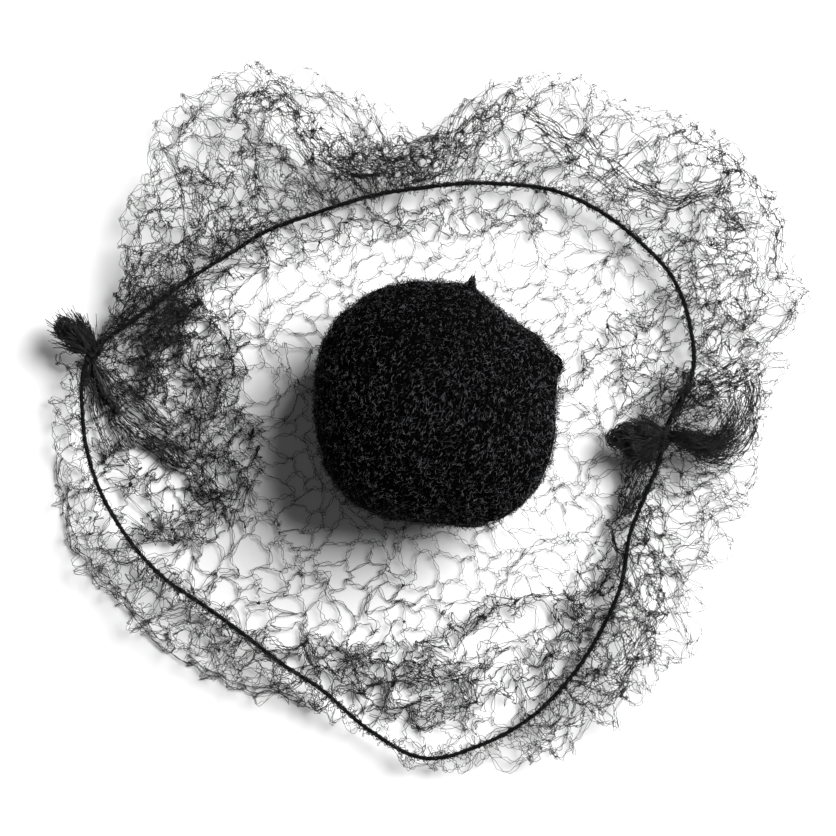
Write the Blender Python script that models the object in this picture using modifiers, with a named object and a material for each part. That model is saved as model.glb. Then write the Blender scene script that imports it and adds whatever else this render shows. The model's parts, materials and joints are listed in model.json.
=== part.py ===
"""Hairnet laid open with its bun pad.

A pouch of black net hangs from a thin elastic rim. It lies on its floor, bulges out past the rim
and turns back up to it. Both ends of the net are tied in a knot with a frayed tuft, and a round
pad covered with the same net lies in the middle. Metres, +Z up, resting on z = 0.
"""

import math
from collections import namedtuple

import bmesh
import bpy
import numpy as np
from mathutils import Matrix, Vector

# Net, laid open
NET_LENGTH = 0.188  # spread of the net along X
NET_WIDTH = 0.1745  # spread of the net along Y
NET_LOFT = 0.013  # height of the belly's crest
NET_WALL = 0.001  # thickness of the net
NET_CELL = 0.0188  # width of a cell, bar to bar
NET_BAR = 0.0018  # width of the bars between the cells
NET_TURN = 0.0085  # how far in from the outline a full belly starts to rise
SIDE_RISE = 0.4  # height of the belly's outermost line, as a share of its crest
TOE_FLATNESS = 0.65  # share of the turn over which the net keeps to the surface
SIDE_STEEPNESS = 0.5  # share of the rise to the outermost line that is upright
CREST_OUT = 1.05  # pull upwards over the outermost line, in crests
CREST_IN = 1.15  # pull upwards nearer to the rim, in crests
CREST_AT = 0.55  # place of that pull, as a share of the way from the rim to the outline
NET_LOOSENESS = 0.0019  # how far a joint of the net strays from its even place
LOOSE_SEED = 7
RELAX_ROUNDS = 80
RELAX_STEP = 0.6  # share of the way that a joint moves in a round
EDGE_CELL = 0.30  # share of a cell by which the outermost cells keep inside the edge
WELD_SHARE = 0.1  # corners nearer than this share of a cell's side are one joint
PLEAT_HEIGHT = 0.0032  # height of the tallest pleat over the belly

# Elastic rim
RIM_HEIGHT = 0.0085  # height of the elastic's middle over the surface
ELASTIC_DIAMETER = 0.0013
RIM_POINTS = 80
HEADING_STEP = 2.0  # degrees either side over which the elastic's heading is taken
SEAT_GAP = 0.0003  # left between pieces that touch
HEM_CUTS = 1  # points added along each bar of the net's edge

# Knots and tufts
LEFT_KNOT_AT = 167.0  # direction of the left knot, degrees from +X
RIGHT_KNOT_AT = 355.6
KNOT_LENGTH = 0.0068  # along the elastic
KNOT_WIDTH = 0.0046
KNOT_HEIGHT = 0.0052
KNOT_DIP = 0.75  # half width of the net's dip under a knot, as a share of the knot's length
LEFT_TUFT_LENGTH = 0.0150
RIGHT_TUFT_LENGTH = 0.0150
LOCK_DIAMETER = 0.0038
LOCK_TIP = 0.5  # tip of a lock as a share of its root
LOCK_STEPS = 6
TUFT_GRAIN = 0.0009  # size of the steps that the locks are fused with
ROPE_LENGTH = 0.0165  # reach of the bunched net from the right knot
ROPE_DIAMETER = 0.0044
ROPE_CLEARANCE = 0.0008  # between the rope and the cells that it lies on
GATHER_SPREAD = 26.0  # degrees either side of a knot that are drawn in
GATHER_PULL = 0.5  # share by which the cells at a knot are narrowed
GATHER_CLOSED = 0.0150  # flat cells nearer to a knot than this are drawn shut

# Bun pad
PAD_LENGTH = 0.0620
PAD_WIDTH = 0.0620
PAD_HEIGHT = 0.0480
PAD_X = 0.0034
PAD_Y = 0.0038
PAD_ROUND = 0.82  # 1 is a true ellipse, less is squarer
PAD_FOOT = 0.075  # share of the height that is pressed flat underneath
PAD_SIDES = 32
PAD_RINGS = 18
POLE = 0.999  # sine of the height over which a place on the pad has no direction
NUB_HEIGHT = 0.46  # height of the pad's nubs, as a share of the pad's
NUB_ROOT = 0.7  # half width of a nub at its root, as a share of its width
NUB_END = 0.2
NUB_SIDES = 12

# Plan of the net round its middle. direction: degrees from +X. rim: the elastic's reach, and
# belly: how far the net stands out past it, as shares of the net's half spread. loft: share of
# NET_LOFT. rise: share of RIM_HEIGHT.
Plan = namedtuple("Plan", "direction rim belly loft rise")
PLAN = (
    Plan(0, 0.647, 0.266, 0.78, 1.05),
    Plan(15, 0.738, 0.300, 0.95, 0.95),
    Plan(30, 0.769, 0.370, 1.15, 0.90),
    Plan(45, 0.757, 0.372, 1.20, 0.90),
    Plan(60, 0.738, 0.322, 1.10, 0.95),
    Plan(75, 0.697, 0.315, 1.05, 1.00),
    Plan(90, 0.662, 0.150, 0.90, 1.05),
    Plan(105, 0.652, 0.350, 1.05, 1.00),
    Plan(120, 0.658, 0.487, 1.20, 0.95),
    Plan(135, 0.690, 0.376, 1.20, 0.90),
    Plan(150, 0.735, 0.205, 0.90, 0.90),
    Plan(165, 0.882, 0.026, 0.42, 1.00),
    Plan(180, 0.905, 0.086, 0.55, 0.90),
    Plan(195, 0.873, 0.145, 0.70, 0.75),
    Plan(210, 0.830, 0.165, 0.75, 0.70),
    Plan(225, 0.785, 0.178, 0.75, 0.70),
    Plan(240, 0.795, 0.110, 0.62, 0.70),
    Plan(255, 0.865, 0.040, 0.48, 0.72),
    Plan(270, 0.968, 0.036, 0.46, 0.70),
    Plan(285, 0.922, 0.098, 0.62, 0.68),
    Plan(300, 0.831, 0.176, 0.80, 0.70),
    Plan(315, 0.733, 0.236, 0.90, 0.80),
    Plan(330, 0.637, 0.233, 0.90, 0.90),
    Plan(345, 0.626, 0.259, 0.80, 1.00),
)

# Pleats over the belly. direction: degrees from +X. spread: half width, degrees. height: share
# of PLEAT_HEIGHT.
Pleat = namedtuple("Pleat", "direction spread height")
PLEATS = (
    Pleat(12, 7, 0.7),
    Pleat(33, 8, 1.0),
    Pleat(52, 6, 0.8),
    Pleat(68, 5, 0.6),
    Pleat(84, 6, 1.0),
    Pleat(101, 6, 0.8),
    Pleat(118, 8, 1.0),
    Pleat(137, 7, 0.7),
    Pleat(149, 5, 0.8),
    Pleat(203, 8, 0.4),
    Pleat(228, 7, 0.4),
    Pleat(297, 7, 0.5),
    Pleat(318, 8, 0.8),
    Pleat(341, 7, 0.8),
)

# Locks of the tufts, seen from above. bearing: degrees from +X at the root. curl: degrees that
# the lock turns along its length. climb: share of its length that the tip is higher. reach:
# share of the tuft's length.
Lock = namedtuple("Lock", "bearing curl climb reach")
LEFT_LOCKS = (
    Lock(192, -45, 0.30, 0.66),
    Lock(180, -30, 0.55, 0.80),
    Lock(170, -24, 0.12, 1.00),
    Lock(160, -14, 0.40, 0.90),
    Lock(152, -10, 0.08, 1.00),
    Lock(143, -2, 0.28, 0.92),
    Lock(136, 2, 0.60, 0.70),
    Lock(133, 24, 0.20, 0.78),
)
RIGHT_LOCKS = (
    Lock(178, 12, 0.10, 0.86),
    Lock(165, 18, 0.35, 0.80),
    Lock(189, -20, -0.05, 0.84),
    Lock(200, -36, 0.22, 0.70),
    Lock(154, 35, 0.05, 0.62),
    Lock(222, 48, -0.10, 1.15),
    Lock(184, 5, 0.42, 0.60),
)

# The bunched net beyond the right knot, from the knot outwards. along and across: shares of
# ROPE_LENGTH. lift: share of the way from the knot's height up to where it lies on the net. girth:
# share of ROPE_DIAMETER.
RopeStep = namedtuple("RopeStep", "along across lift girth")
ROPE = (
    RopeStep(0.02, 0.00, 0.0, 0.70),
    RopeStep(0.30, -0.05, 0.8, 0.90),
    RopeStep(0.55, -0.13, 1.0, 1.00),
    RopeStep(0.78, -0.16, 1.0, 1.00),
    RopeStep(0.98, -0.02, 1.0, 0.90),
    RopeStep(1.02, 0.22, 1.0, 0.80),
    RopeStep(0.88, 0.40, 1.0, 0.70),
    RopeStep(0.68, 0.38, 1.0, 0.60),
)

# Plan of the pad round its middle. direction: degrees from +X. reach: share of the half size.
PadSide = namedtuple("PadSide", "direction reach")
PAD_PLAN = (
    PadSide(0, 0.955),
    PadSide(20, 0.985),
    PadSide(40, 0.945),
    PadSide(60, 0.915),
    PadSide(80, 0.965),
    PadSide(100, 1.005),
    PadSide(120, 1.045),
    PadSide(140, 1.070),
    PadSide(160, 1.050),
    PadSide(180, 1.005),
    PadSide(200, 1.020),
    PadSide(220, 1.055),
    PadSide(240, 1.045),
    PadSide(260, 0.975),
    PadSide(280, 1.005),
    PadSide(300, 1.060),
    PadSide(320, 1.050),
    PadSide(340, 0.990),
)

# Soft hollows of the pad. direction and height: degrees round and up. spread: degrees. depth:
# share of PAD_HEIGHT.
Hollow = namedtuple("Hollow", "direction height spread depth")
PAD_HOLLOWS = (
    Hollow(300, 62, 16, 0.030),
    Hollow(250, 12, 20, 0.025),
    Hollow(52, 25, 24, 0.030),
    Hollow(355, 5, 16, 0.020),
)

# Nubs of the pad. direction: degrees from +X. length and width in metres.
Nub = namedtuple("Nub", "name direction length width")
PAD_NUBS = (
    Nub("pad_tip", 74.0, 0.0042, 0.0036),
    Nub("pad_knob", 17.0, 0.0026, 0.0074),
)

Finish = namedtuple("Finish", "name colour roughness")
NET_FINISH = Finish("black net", (0.012, 0.012, 0.013, 1.0), 0.5)
ELASTIC_FINISH = Finish("black elastic", (0.008, 0.008, 0.009, 1.0), 0.6)
PAD_FINISH = Finish("black knitted pad", (0.006, 0.006, 0.007, 1.0), 0.85)


def round_value(table, name, direction):
    """Smooth value of a column at a direction, for a table with even steps round the full turn."""
    count = len(table)
    place = (direction % 360.0) / 360.0 * count
    at = int(math.floor(place)) % count
    t = place - math.floor(place)
    before, here, there, after = (getattr(table[(at + k) % count], name) for k in (-1, 0, 1, 2))
    bend = 2 * before - 5 * here + 4 * there - after
    twist = 3 * (here - there) + after - before
    return here + 0.5 * t * (there - before + t * (bend + t * twist))


def apart(first, second):
    """Signed angle from the second direction to the first, in degrees from -180 to 180."""
    return (first - second + 180.0) % 360.0 - 180.0


def half_spread(direction):
    """Reach of the ellipse that the plan's shares are taken of."""
    angle = math.radians(direction)
    long_side = NET_LENGTH / 2
    short_side = NET_WIDTH / 2
    across = math.hypot(short_side * math.cos(angle), long_side * math.sin(angle))
    return long_side * short_side / across


def rim_reach(direction):
    """Reach of the elastic's middle line."""
    return half_spread(direction) * round_value(PLAN, "rim", direction)


def rim_rise(direction):
    """Height of the elastic's middle line."""
    return RIM_HEIGHT * round_value(PLAN, "rise", direction)


def outline_reach(direction):
    """Reach of the net's outline."""
    belly = half_spread(direction) * round_value(PLAN, "belly", direction)
    return rim_reach(direction) + belly


def hem_reach(direction):
    """Reach of the net's upper edge, which lies along the outside of the elastic."""
    return rim_reach(direction) + ELASTIC_DIAMETER / 2 + SEAT_GAP + NET_WALL / 2


def hem_rise(direction):
    """Height of the net's upper edge, which dips to pass under both knots."""
    rise = rim_rise(direction)
    dip = KNOT_HEIGHT / 2 + SEAT_GAP + NET_WALL / 2
    for knot in (LEFT_KNOT_AT, RIGHT_KNOT_AT):
        away = math.radians(apart(direction, knot)) * rim_reach(knot)
        rise -= dip * math.exp(-((away / (KNOT_DIP * KNOT_LENGTH)) ** 4))
    return rise


def rim_point(direction):
    """Point of the elastic's middle line at a direction."""
    angle = math.radians(direction)
    reach = rim_reach(direction)
    return Vector((reach * math.cos(angle), reach * math.sin(angle), rim_rise(direction)))


def bezier(points, count):
    """Points along a cubic curve, without the first."""
    t = np.linspace(0.0, 1.0, count + 1)[1:, None]
    a, b, c, d = (np.array(p, dtype=float) for p in points)
    return (1 - t) ** 3 * a + 3 * (1 - t) ** 2 * t * b + 3 * (1 - t) * t**2 * c + t**3 * d


class Section:
    """The net's section at one direction: floor, belly and the layer that turns back to the rim."""

    TOE_STEPS = 8
    BACK_STEPS = 16
    PLACES = 60

    def __init__(self, direction):
        out = max(outline_reach(direction), hem_reach(direction) + NET_WALL)
        hem = hem_reach(direction)
        fullness = round_value(PLAN, "loft", direction)
        loft = NET_LOFT * fullness
        turn = NET_TURN * fullness
        low = NET_WALL / 2
        side = low + SIDE_RISE * (loft - low)
        floor_end = (out - turn, low)
        outermost = (out, side)
        toe_pull = ((out - (1 - TOE_FLATNESS) * turn, low), (out, SIDE_STEEPNESS * side))
        back_pull = ((out, CREST_OUT * loft), (hem + CREST_AT * (out - hem), CREST_IN * loft))
        toe = bezier((floor_end, *toe_pull, outermost), self.TOE_STEPS)
        back = bezier((outermost, *back_pull, (hem, hem_rise(direction))), self.BACK_STEPS)
        self.points = np.vstack(([0.0, low], floor_end, toe, back))
        steps = np.linalg.norm(np.diff(self.points, axis=0), axis=1)
        self.along = np.concatenate(([0.0], np.cumsum(steps)))
        self.length = self.along[-1]
        self.back_start = self.along[1 + self.TOE_STEPS]
        self.direction = direction

    def pleat(self, share):
        """Height that the pleats add at a share of the way back from the outline to the hem."""
        total = 0.0
        for pleat in PLEATS:
            away = apart(self.direction, pleat.direction) / pleat.spread
            total += pleat.height * math.exp(-(away**2))
        return PLEAT_HEIGHT * total * math.sin(math.pi * share) ** 2

    def at(self, flat):
        """Reach and height of the net at a distance along the flat net from its middle."""
        reach = float(np.interp(flat, self.along, self.points[:, 0]))
        height = float(np.interp(flat, self.along, self.points[:, 1]))
        share = (flat - self.back_start) / (self.length - self.back_start)
        if share > 0:
            height += self.pleat(min(share, 1.0))
        return reach, height

    def top_at(self, reach):
        """Height of the upper layer at a reach from the middle."""
        flats = np.linspace(self.back_start, self.length, self.PLACES)
        found = [self.at(flat) for flat in flats]
        return min(found, key=lambda pair: abs(pair[0] - reach))[1]


def flat_reaches():
    """Length of the flat net from its middle to its hem, for each degree."""
    return np.array([Section(direction).length for direction in range(361)])


def flat_reach(reaches, x, y):
    """Length of the flat net in the direction of a flat point."""
    return float(np.interp(math.degrees(math.atan2(y, x)) % 360.0, range(361), reaches))


def flat_honeycomb(reaches):
    """The flat net as a honeycomb that fills its outline, cell by cell."""
    cells = bmesh.new()
    side = NET_CELL / math.sqrt(3)
    rows = int(max(reaches) / (1.5 * side)) + 2
    for row in range(-rows, rows + 1):
        for place in range(-rows, rows + 1):
            x = NET_CELL * (place + 0.5 * (row % 2))
            y = 1.5 * side * row
            if math.hypot(x, y) < flat_reach(reaches, x, y) - EDGE_CELL * NET_CELL:
                where = Matrix.Translation((x, y, 0.0))
                bmesh.ops.create_circle(cells, cap_ends=True, segments=6, radius=side, matrix=where)
    bmesh.ops.remove_doubles(cells, verts=cells.verts, dist=WELD_SHARE * side)
    relax(cells, reaches)
    return cells


def relax(cells, reaches):
    """Evens out the cells while the outer ones are drawn to the hem, then loosens them a little."""
    for _ in range(RELAX_ROUNDS):
        moved = {}
        for vert in cells.verts:
            links = [e.other_vert(vert) for e in vert.link_edges if e.is_boundary or not vert.is_boundary]
            middle = sum((other.co for other in links), Vector()) / len(links)
            if vert.is_boundary:
                middle = (middle + vert.co) / 2
                middle *= flat_reach(reaches, middle.x, middle.y) / middle.length
            moved[vert] = middle
        for vert, middle in moved.items():
            vert.co = vert.co.lerp(middle, RELAX_STEP)
    loose = np.random.default_rng(LOOSE_SEED)
    for vert in cells.verts:
        shift = loose.uniform(-1.0, 1.0, 2) * NET_LOOSENESS
        if not vert.is_boundary:
            vert.co += Vector((shift[0], shift[1], 0.0))


def drawn_in(x, y, reaches):
    """A flat point after the hem has been gathered towards the knots."""
    direction = math.degrees(math.atan2(y, x))
    share = math.hypot(x, y) / flat_reach(reaches, x, y)
    for knot in (LEFT_KNOT_AT, RIGHT_KNOT_AT):
        away = apart(direction, knot)
        pull = GATHER_PULL * share**4 * math.exp(-((away / GATHER_SPREAD) ** 2))
        direction -= pull * away
    return direction, share


def shaped(x, y, reaches):
    """Where a point of the flat net lies once the net is laid out."""
    direction, share = drawn_in(x, y, reaches)
    section = Section(direction)
    reach, height = section.at(share * section.length)
    angle = math.radians(direction)
    return Vector((reach * math.cos(angle), reach * math.sin(angle), height))


def beside_knot(middle, reaches):
    """Whether a cell of the flat net is drawn shut by a knot."""
    for knot in (LEFT_KNOT_AT, RIGHT_KNOT_AT):
        angle = math.radians(knot)
        hem = Vector((math.cos(angle), math.sin(angle), 0.0))
        hem *= flat_reach(reaches, hem.x, hem.y)
        if (middle - hem).length < GATHER_CLOSED:
            return True
    return False


def object_from(mesh_data, name, collection):
    """A new object for a bmesh, which is freed."""
    mesh = bpy.data.meshes.new(name)
    mesh_data.to_mesh(mesh)
    mesh_data.free()
    made = bpy.data.objects.new(name, mesh)
    collection.objects.link(made)
    return made


def make_net_bag(collection):
    """The net: a honeycomb cut through a thin sheet and laid out as a pouch."""
    reaches = flat_reaches()
    net = flat_honeycomb(reaches)
    hem_edges = [e for e in net.edges if e.is_boundary]
    bmesh.ops.bisect_edges(net, edges=hem_edges, cuts=HEM_CUTS)
    for vert in net.verts:
        if vert.is_boundary:
            vert.co *= flat_reach(reaches, vert.co.x, vert.co.y) / vert.co.length
    open_cells = [cell for cell in net.faces if not beside_knot(cell.calc_center_median(), reaches)]
    bmesh.ops.inset_individual(net, faces=open_cells, thickness=NET_BAR / 2, use_even_offset=True)
    bmesh.ops.delete(net, geom=open_cells, context="FACES")
    for vert in net.verts:
        vert.co = shaped(vert.co.x, vert.co.y, reaches)
    bmesh.ops.recalc_face_normals(net, faces=net.faces)
    bag = object_from(net, "net_bag", collection)
    wall = bag.modifiers.new("net thickness", "SOLIDIFY")
    wall.thickness = NET_WALL
    wall.offset = 0.0
    return bag


def curve_tube(name, points, diameter, collection, girths=None, cyclic=False):
    """A round tube along points, as a curve object."""
    data = bpy.data.curves.new(name, "CURVE")
    data.dimensions = "3D"
    data.bevel_depth = diameter / 2
    data.bevel_resolution = 2
    data.use_fill_caps = not cyclic
    spline = data.splines.new("POLY")
    spline.points.add(len(points) - 1)
    spline.use_cyclic_u = cyclic
    for index, point in enumerate(points):
        spline.points[index].co = (*point, 1.0)
        spline.points[index].radius = 1.0 if girths is None else girths[index]
    made = bpy.data.objects.new(name, data)
    collection.objects.link(made)
    return made


def as_mesh(tube, collection):
    """The tube as a mesh object with welded caps; the curve is removed."""
    bpy.context.view_layer.update()
    evaluated = tube.evaluated_get(bpy.context.evaluated_depsgraph_get())
    mesh = bpy.data.meshes.new_from_object(evaluated)
    welded = bmesh.new()
    welded.from_mesh(mesh)
    bmesh.ops.remove_doubles(welded, verts=welded.verts, dist=1e-6)
    welded.to_mesh(mesh)
    welded.free()
    made = bpy.data.objects.new(tube.name + "_mesh", mesh)
    made.matrix_world = tube.matrix_world
    collection.objects.link(made)
    name = tube.name
    bpy.data.objects.remove(tube)
    made.name = name
    return made


def rim_route():
    """Points along the elastic's middle line."""
    return [rim_point(360.0 * step / RIM_POINTS) for step in range(RIM_POINTS)]


def make_rim_elastic(collection):
    """The elastic cord, one closed loop."""
    return curve_tube("rim_elastic", rim_route(), ELASTIC_DIAMETER, collection, cyclic=True)


def rim_heading(knot):
    """Direction in which the elastic runs through a knot, in radians."""
    run = rim_point(knot + HEADING_STEP) - rim_point(knot - HEADING_STEP)
    return math.atan2(run.y, run.x)


def lock_route(root, lock, length):
    """Points along one lock of a tuft."""
    points = [root.copy()]
    for step in range(1, LOCK_STEPS + 1):
        heading = math.radians(lock.bearing + lock.curl * step / LOCK_STEPS)
        forward = Vector((math.cos(heading), math.sin(heading), lock.climb))
        points.append(points[-1] + forward * (lock.reach * length / LOCK_STEPS))
    return points


def lock_girths():
    """Girth of a lock at each of its points, root to tip, as shares of its root."""
    return [1.0 + (LOCK_TIP - 1.0) * step / LOCK_STEPS for step in range(LOCK_STEPS + 1)]


def knot_ball(knot, collection, name):
    """The tied knot round the elastic."""
    body = bmesh.new()
    bmesh.ops.create_icosphere(body, subdivisions=3, radius=0.5)
    turn = Matrix.Rotation(rim_heading(knot), 4, "Z")
    size = Matrix.Diagonal((KNOT_LENGTH, KNOT_WIDTH, KNOT_HEIGHT, 1.0))
    where = Matrix.Translation(rim_point(knot))
    bmesh.ops.transform(body, matrix=where @ turn @ size, verts=body.verts)
    return object_from(body, name, collection)


def fuse(pieces, name, collection):
    """Joins overlapping pieces into one closed body with a fine even grain."""
    joined = bmesh.new()
    for piece in pieces:
        joined.from_mesh(piece.data)
        bpy.data.objects.remove(piece)
    made = object_from(joined, name, collection)
    grain = made.modifiers.new("fused locks", "REMESH")
    grain.mode = "VOXEL"
    grain.voxel_size = TUFT_GRAIN
    return made


def make_tuft(name, knot, locks, length, collection, cutters, more=()):
    """A knot with its locks, bored for the elastic."""
    root = rim_point(knot)
    pieces = [knot_ball(knot, collection, name + "_knot")]
    for number, lock in enumerate(locks):
        route = lock_route(root, lock, length)
        tube = curve_tube(f"{name}_lock_{number}", route, LOCK_DIAMETER, collection, lock_girths())
        pieces.append(as_mesh(tube, collection))
    pieces.extend(more)
    tuft = fuse(pieces, name, collection)
    bore_width = ELASTIC_DIAMETER + 2 * SEAT_GAP
    bore = as_mesh(curve_tube(name + "_bore", rim_route(), bore_width, cutters, cyclic=True), cutters)
    hide(bore)
    cut = tuft.modifiers.new("bore for the elastic", "BOOLEAN")
    cut.operation = "DIFFERENCE"
    cut.solver = "EXACT"
    cut.object = bore
    return tuft


def hide(cutter):
    """Marks an object as a cutter."""
    cutter.hide_render = True
    cutter.display_type = "WIRE"


def make_rope(collection):
    """The bunched net beyond the right knot, lying on the belly."""
    root = rim_point(RIGHT_KNOT_AT)
    heading = math.radians(RIGHT_KNOT_AT)
    points = []
    for step in ROPE:
        x = root.x + ROPE_LENGTH * (step.along * math.cos(heading) - step.across * math.sin(heading))
        y = root.y + ROPE_LENGTH * (step.along * math.sin(heading) + step.across * math.cos(heading))
        section = Section(math.degrees(math.atan2(y, x)))
        net_top = section.top_at(math.hypot(x, y)) + NET_WALL / 2
        lying = net_top + ROPE_CLEARANCE + step.girth * ROPE_DIAMETER / 2
        points.append(Vector((x, y, root.z + step.lift * (max(lying, root.z) - root.z))))
    girths = [step.girth for step in ROPE]
    return as_mesh(curve_tube("rope", points, ROPE_DIAMETER, collection, girths), collection)


def make_bun_pad(collection, cutters):
    """The pad: a squat ball with a table driven plan, soft hollows and a flat foot."""
    body = bmesh.new()
    bmesh.ops.create_uvsphere(body, u_segments=PAD_SIDES, v_segments=PAD_RINGS, radius=1.0)
    foot = NET_WALL + SEAT_GAP
    for vert in body.verts:
        up = math.asin(max(-1.0, min(1.0, vert.co.z)))
        at_pole = abs(vert.co.z) > POLE
        round_at = 0.0 if at_pole else math.degrees(math.atan2(vert.co.y, vert.co.x))
        shrink = 1.0
        for hollow in PAD_HOLLOWS:
            turned = apart(round_at, hollow.direction) * math.cos(up)
            away = math.hypot(turned, math.degrees(up) - hollow.height)
            shrink -= 2 * hollow.depth * math.exp(-((away / hollow.spread) ** 2))
        reach = round_value(PAD_PLAN, "reach", round_at) * shrink
        level = math.copysign(abs(math.sin(up)) ** PAD_ROUND, up)
        out = math.cos(up) ** PAD_ROUND * reach
        angle = math.radians(round_at)
        x = PAD_X + PAD_LENGTH / 2 * out * math.cos(angle)
        y = PAD_Y + PAD_WIDTH / 2 * out * math.sin(angle)
        full = PAD_HEIGHT / (1.0 - PAD_FOOT)
        z = foot + max(0.0, full * (0.5 * (level * shrink + 1.0) - PAD_FOOT))
        vert.co = (x, y, z)
    pad = object_from(body, "bun_pad", collection)
    for nub in PAD_NUBS:
        join = pad.modifiers.new(nub.name, "BOOLEAN")
        join.operation = "UNION"
        join.solver = "EXACT"
        join.object = pad_nub(nub, cutters)
    return pad


def pad_nub(nub, cutters):
    """A small cone that stands out from the pad's side."""
    angle = math.radians(nub.direction)
    reach = round_value(PAD_PLAN, "reach", nub.direction)
    sunk = nub.width
    body = bmesh.new()
    bmesh.ops.create_cone(
        body,
        cap_ends=True,
        segments=NUB_SIDES,
        radius1=NUB_ROOT * nub.width,
        radius2=NUB_END * nub.width,
        depth=nub.length + sunk,
    )
    lean = Matrix.Rotation(math.radians(90), 4, "Y")
    turn = Matrix.Rotation(angle, 4, "Z")
    middle = (nub.length - sunk) / 2
    x = PAD_X + (PAD_LENGTH / 2 * reach + middle) * math.cos(angle)
    y = PAD_Y + (PAD_WIDTH / 2 * reach + middle) * math.sin(angle)
    z = NET_WALL + SEAT_GAP + NUB_HEIGHT * PAD_HEIGHT
    where = Matrix.Translation((x, y, z))
    bmesh.ops.transform(body, matrix=where @ turn @ lean, verts=body.verts)
    cone = object_from(body, nub.name, cutters)
    hide(cone)
    return cone


def material_of(finish):
    """A material for a finish."""
    made = bpy.data.materials.new(finish.name)
    made.use_nodes = True
    shader = made.node_tree.nodes["Principled BSDF"]
    shader.inputs["Base Color"].default_value = finish.colour
    shader.inputs["Roughness"].default_value = finish.roughness
    shader.inputs["Metallic"].default_value = 0.0
    return made


def dress(piece, material, round_piece=True):
    """Gives a piece its material, and smooth shading where it is round."""
    piece.data.materials.clear()
    piece.data.materials.append(material)
    if round_piece and piece.type == "MESH":
        piece.data.shade_smooth()


def stand_over_middle(pieces):
    """Moves the whole so that the origin is under the middle of its box, on the surface."""
    bpy.context.view_layer.update()
    graph = bpy.context.evaluated_depsgraph_get()
    points = []
    for piece in pieces:
        shown = piece.evaluated_get(graph)
        points.extend(shown.matrix_world @ vert.co for vert in shown.to_mesh().vertices)
        shown.to_mesh_clear()
    low = Vector([min(point[axis] for point in points) for axis in range(3)])
    high = Vector([max(point[axis] for point in points) for axis in range(3)])
    step = Vector((-(low.x + high.x) / 2, -(low.y + high.y) / 2, -low.z))
    for made in bpy.context.scene.objects:
        made.location += step


def main():
    """Builds the hairnet."""
    for old in list(bpy.data.objects):
        bpy.data.objects.remove(old)
    hairnet = bpy.data.collections.new("hairnet")
    cutters = bpy.data.collections.new("cutters")
    bpy.context.scene.collection.children.link(hairnet)
    bpy.context.scene.collection.children.link(cutters)
    net_bag = make_net_bag(hairnet)
    rim_elastic = make_rim_elastic(hairnet)
    left = make_tuft("left_tuft", LEFT_KNOT_AT, LEFT_LOCKS, LEFT_TUFT_LENGTH, hairnet, cutters)
    rope = make_rope(hairnet)
    right = make_tuft(
        "right_tuft", RIGHT_KNOT_AT, RIGHT_LOCKS, RIGHT_TUFT_LENGTH, hairnet, cutters, (rope,)
    )
    bun_pad = make_bun_pad(hairnet, cutters)
    net_black = material_of(NET_FINISH)
    dress(net_bag, net_black, round_piece=False)
    dress(left, net_black)
    dress(right, net_black)
    dress(rim_elastic, material_of(ELASTIC_FINISH))
    dress(bun_pad, material_of(PAD_FINISH))
    stand_over_middle((net_bag, rim_elastic, left, right, bun_pad))


main()
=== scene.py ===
"""Looks of the hairnet with its bun pad: fine strands, an elastic rim, knots and a knitted pad.

The net is built cell by cell. Every side of a cell is two thin filaments that cross each other,
laid first on the flat net, then crumpled, then carried over the belly to the rim. Metres.
"""

import json
import logging
import math
from dataclasses import dataclass, field
from enum import Enum
from typing import Iterable, NamedTuple, Sequence

import bpy
import numpy as np
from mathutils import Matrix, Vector

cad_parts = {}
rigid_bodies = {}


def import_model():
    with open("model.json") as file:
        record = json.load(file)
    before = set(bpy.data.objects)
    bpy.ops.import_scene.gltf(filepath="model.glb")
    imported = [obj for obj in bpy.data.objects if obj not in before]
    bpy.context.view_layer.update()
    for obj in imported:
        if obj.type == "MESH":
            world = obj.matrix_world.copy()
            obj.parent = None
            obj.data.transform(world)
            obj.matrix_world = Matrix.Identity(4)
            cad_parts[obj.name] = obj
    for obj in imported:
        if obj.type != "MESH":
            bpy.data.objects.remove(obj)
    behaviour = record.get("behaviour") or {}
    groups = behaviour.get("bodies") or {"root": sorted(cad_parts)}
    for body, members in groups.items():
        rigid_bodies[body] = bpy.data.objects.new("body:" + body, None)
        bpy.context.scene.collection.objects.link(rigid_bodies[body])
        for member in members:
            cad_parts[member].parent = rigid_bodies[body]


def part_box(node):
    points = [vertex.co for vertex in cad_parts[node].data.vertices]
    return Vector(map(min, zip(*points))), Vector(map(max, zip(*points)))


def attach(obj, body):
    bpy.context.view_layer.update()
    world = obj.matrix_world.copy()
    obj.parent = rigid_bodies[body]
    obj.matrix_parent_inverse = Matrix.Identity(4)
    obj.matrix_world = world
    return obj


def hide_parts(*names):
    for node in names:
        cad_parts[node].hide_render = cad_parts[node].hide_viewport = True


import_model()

LOG = logging.getLogger("hairnet")
ROOT = "root"
MM = 0.001
UP = (0.0, 0.0, 1.0)
Pair = tuple[np.ndarray, np.ndarray]

# How a strand's ring of corners is turned: a steep strand, and one that runs along the guide.
STEEP = 0.8
NEARLY_ALONG = 0.15
SPARE_WAY = (0.3, 1.0, 0.2)


class Slot(Enum):
    """The record's material slots."""

    NET = "net"
    ELASTIC = "elastic"
    PAD = "pad"


class Layer(Enum):
    """The layer of the net that a gather lies in."""

    FLOOR = "floor"
    BACK = "back"


class Edge(Enum):
    """Whether a gather's cells squeeze together where it narrows, or simply end at its edge."""

    DRAWN = "drawn"
    LOOSE = "loose"


class Reach(NamedTuple):
    """Reach of the net's outline and of the elastic in one direction, in millimetres."""

    outline: float
    rim: float


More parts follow.
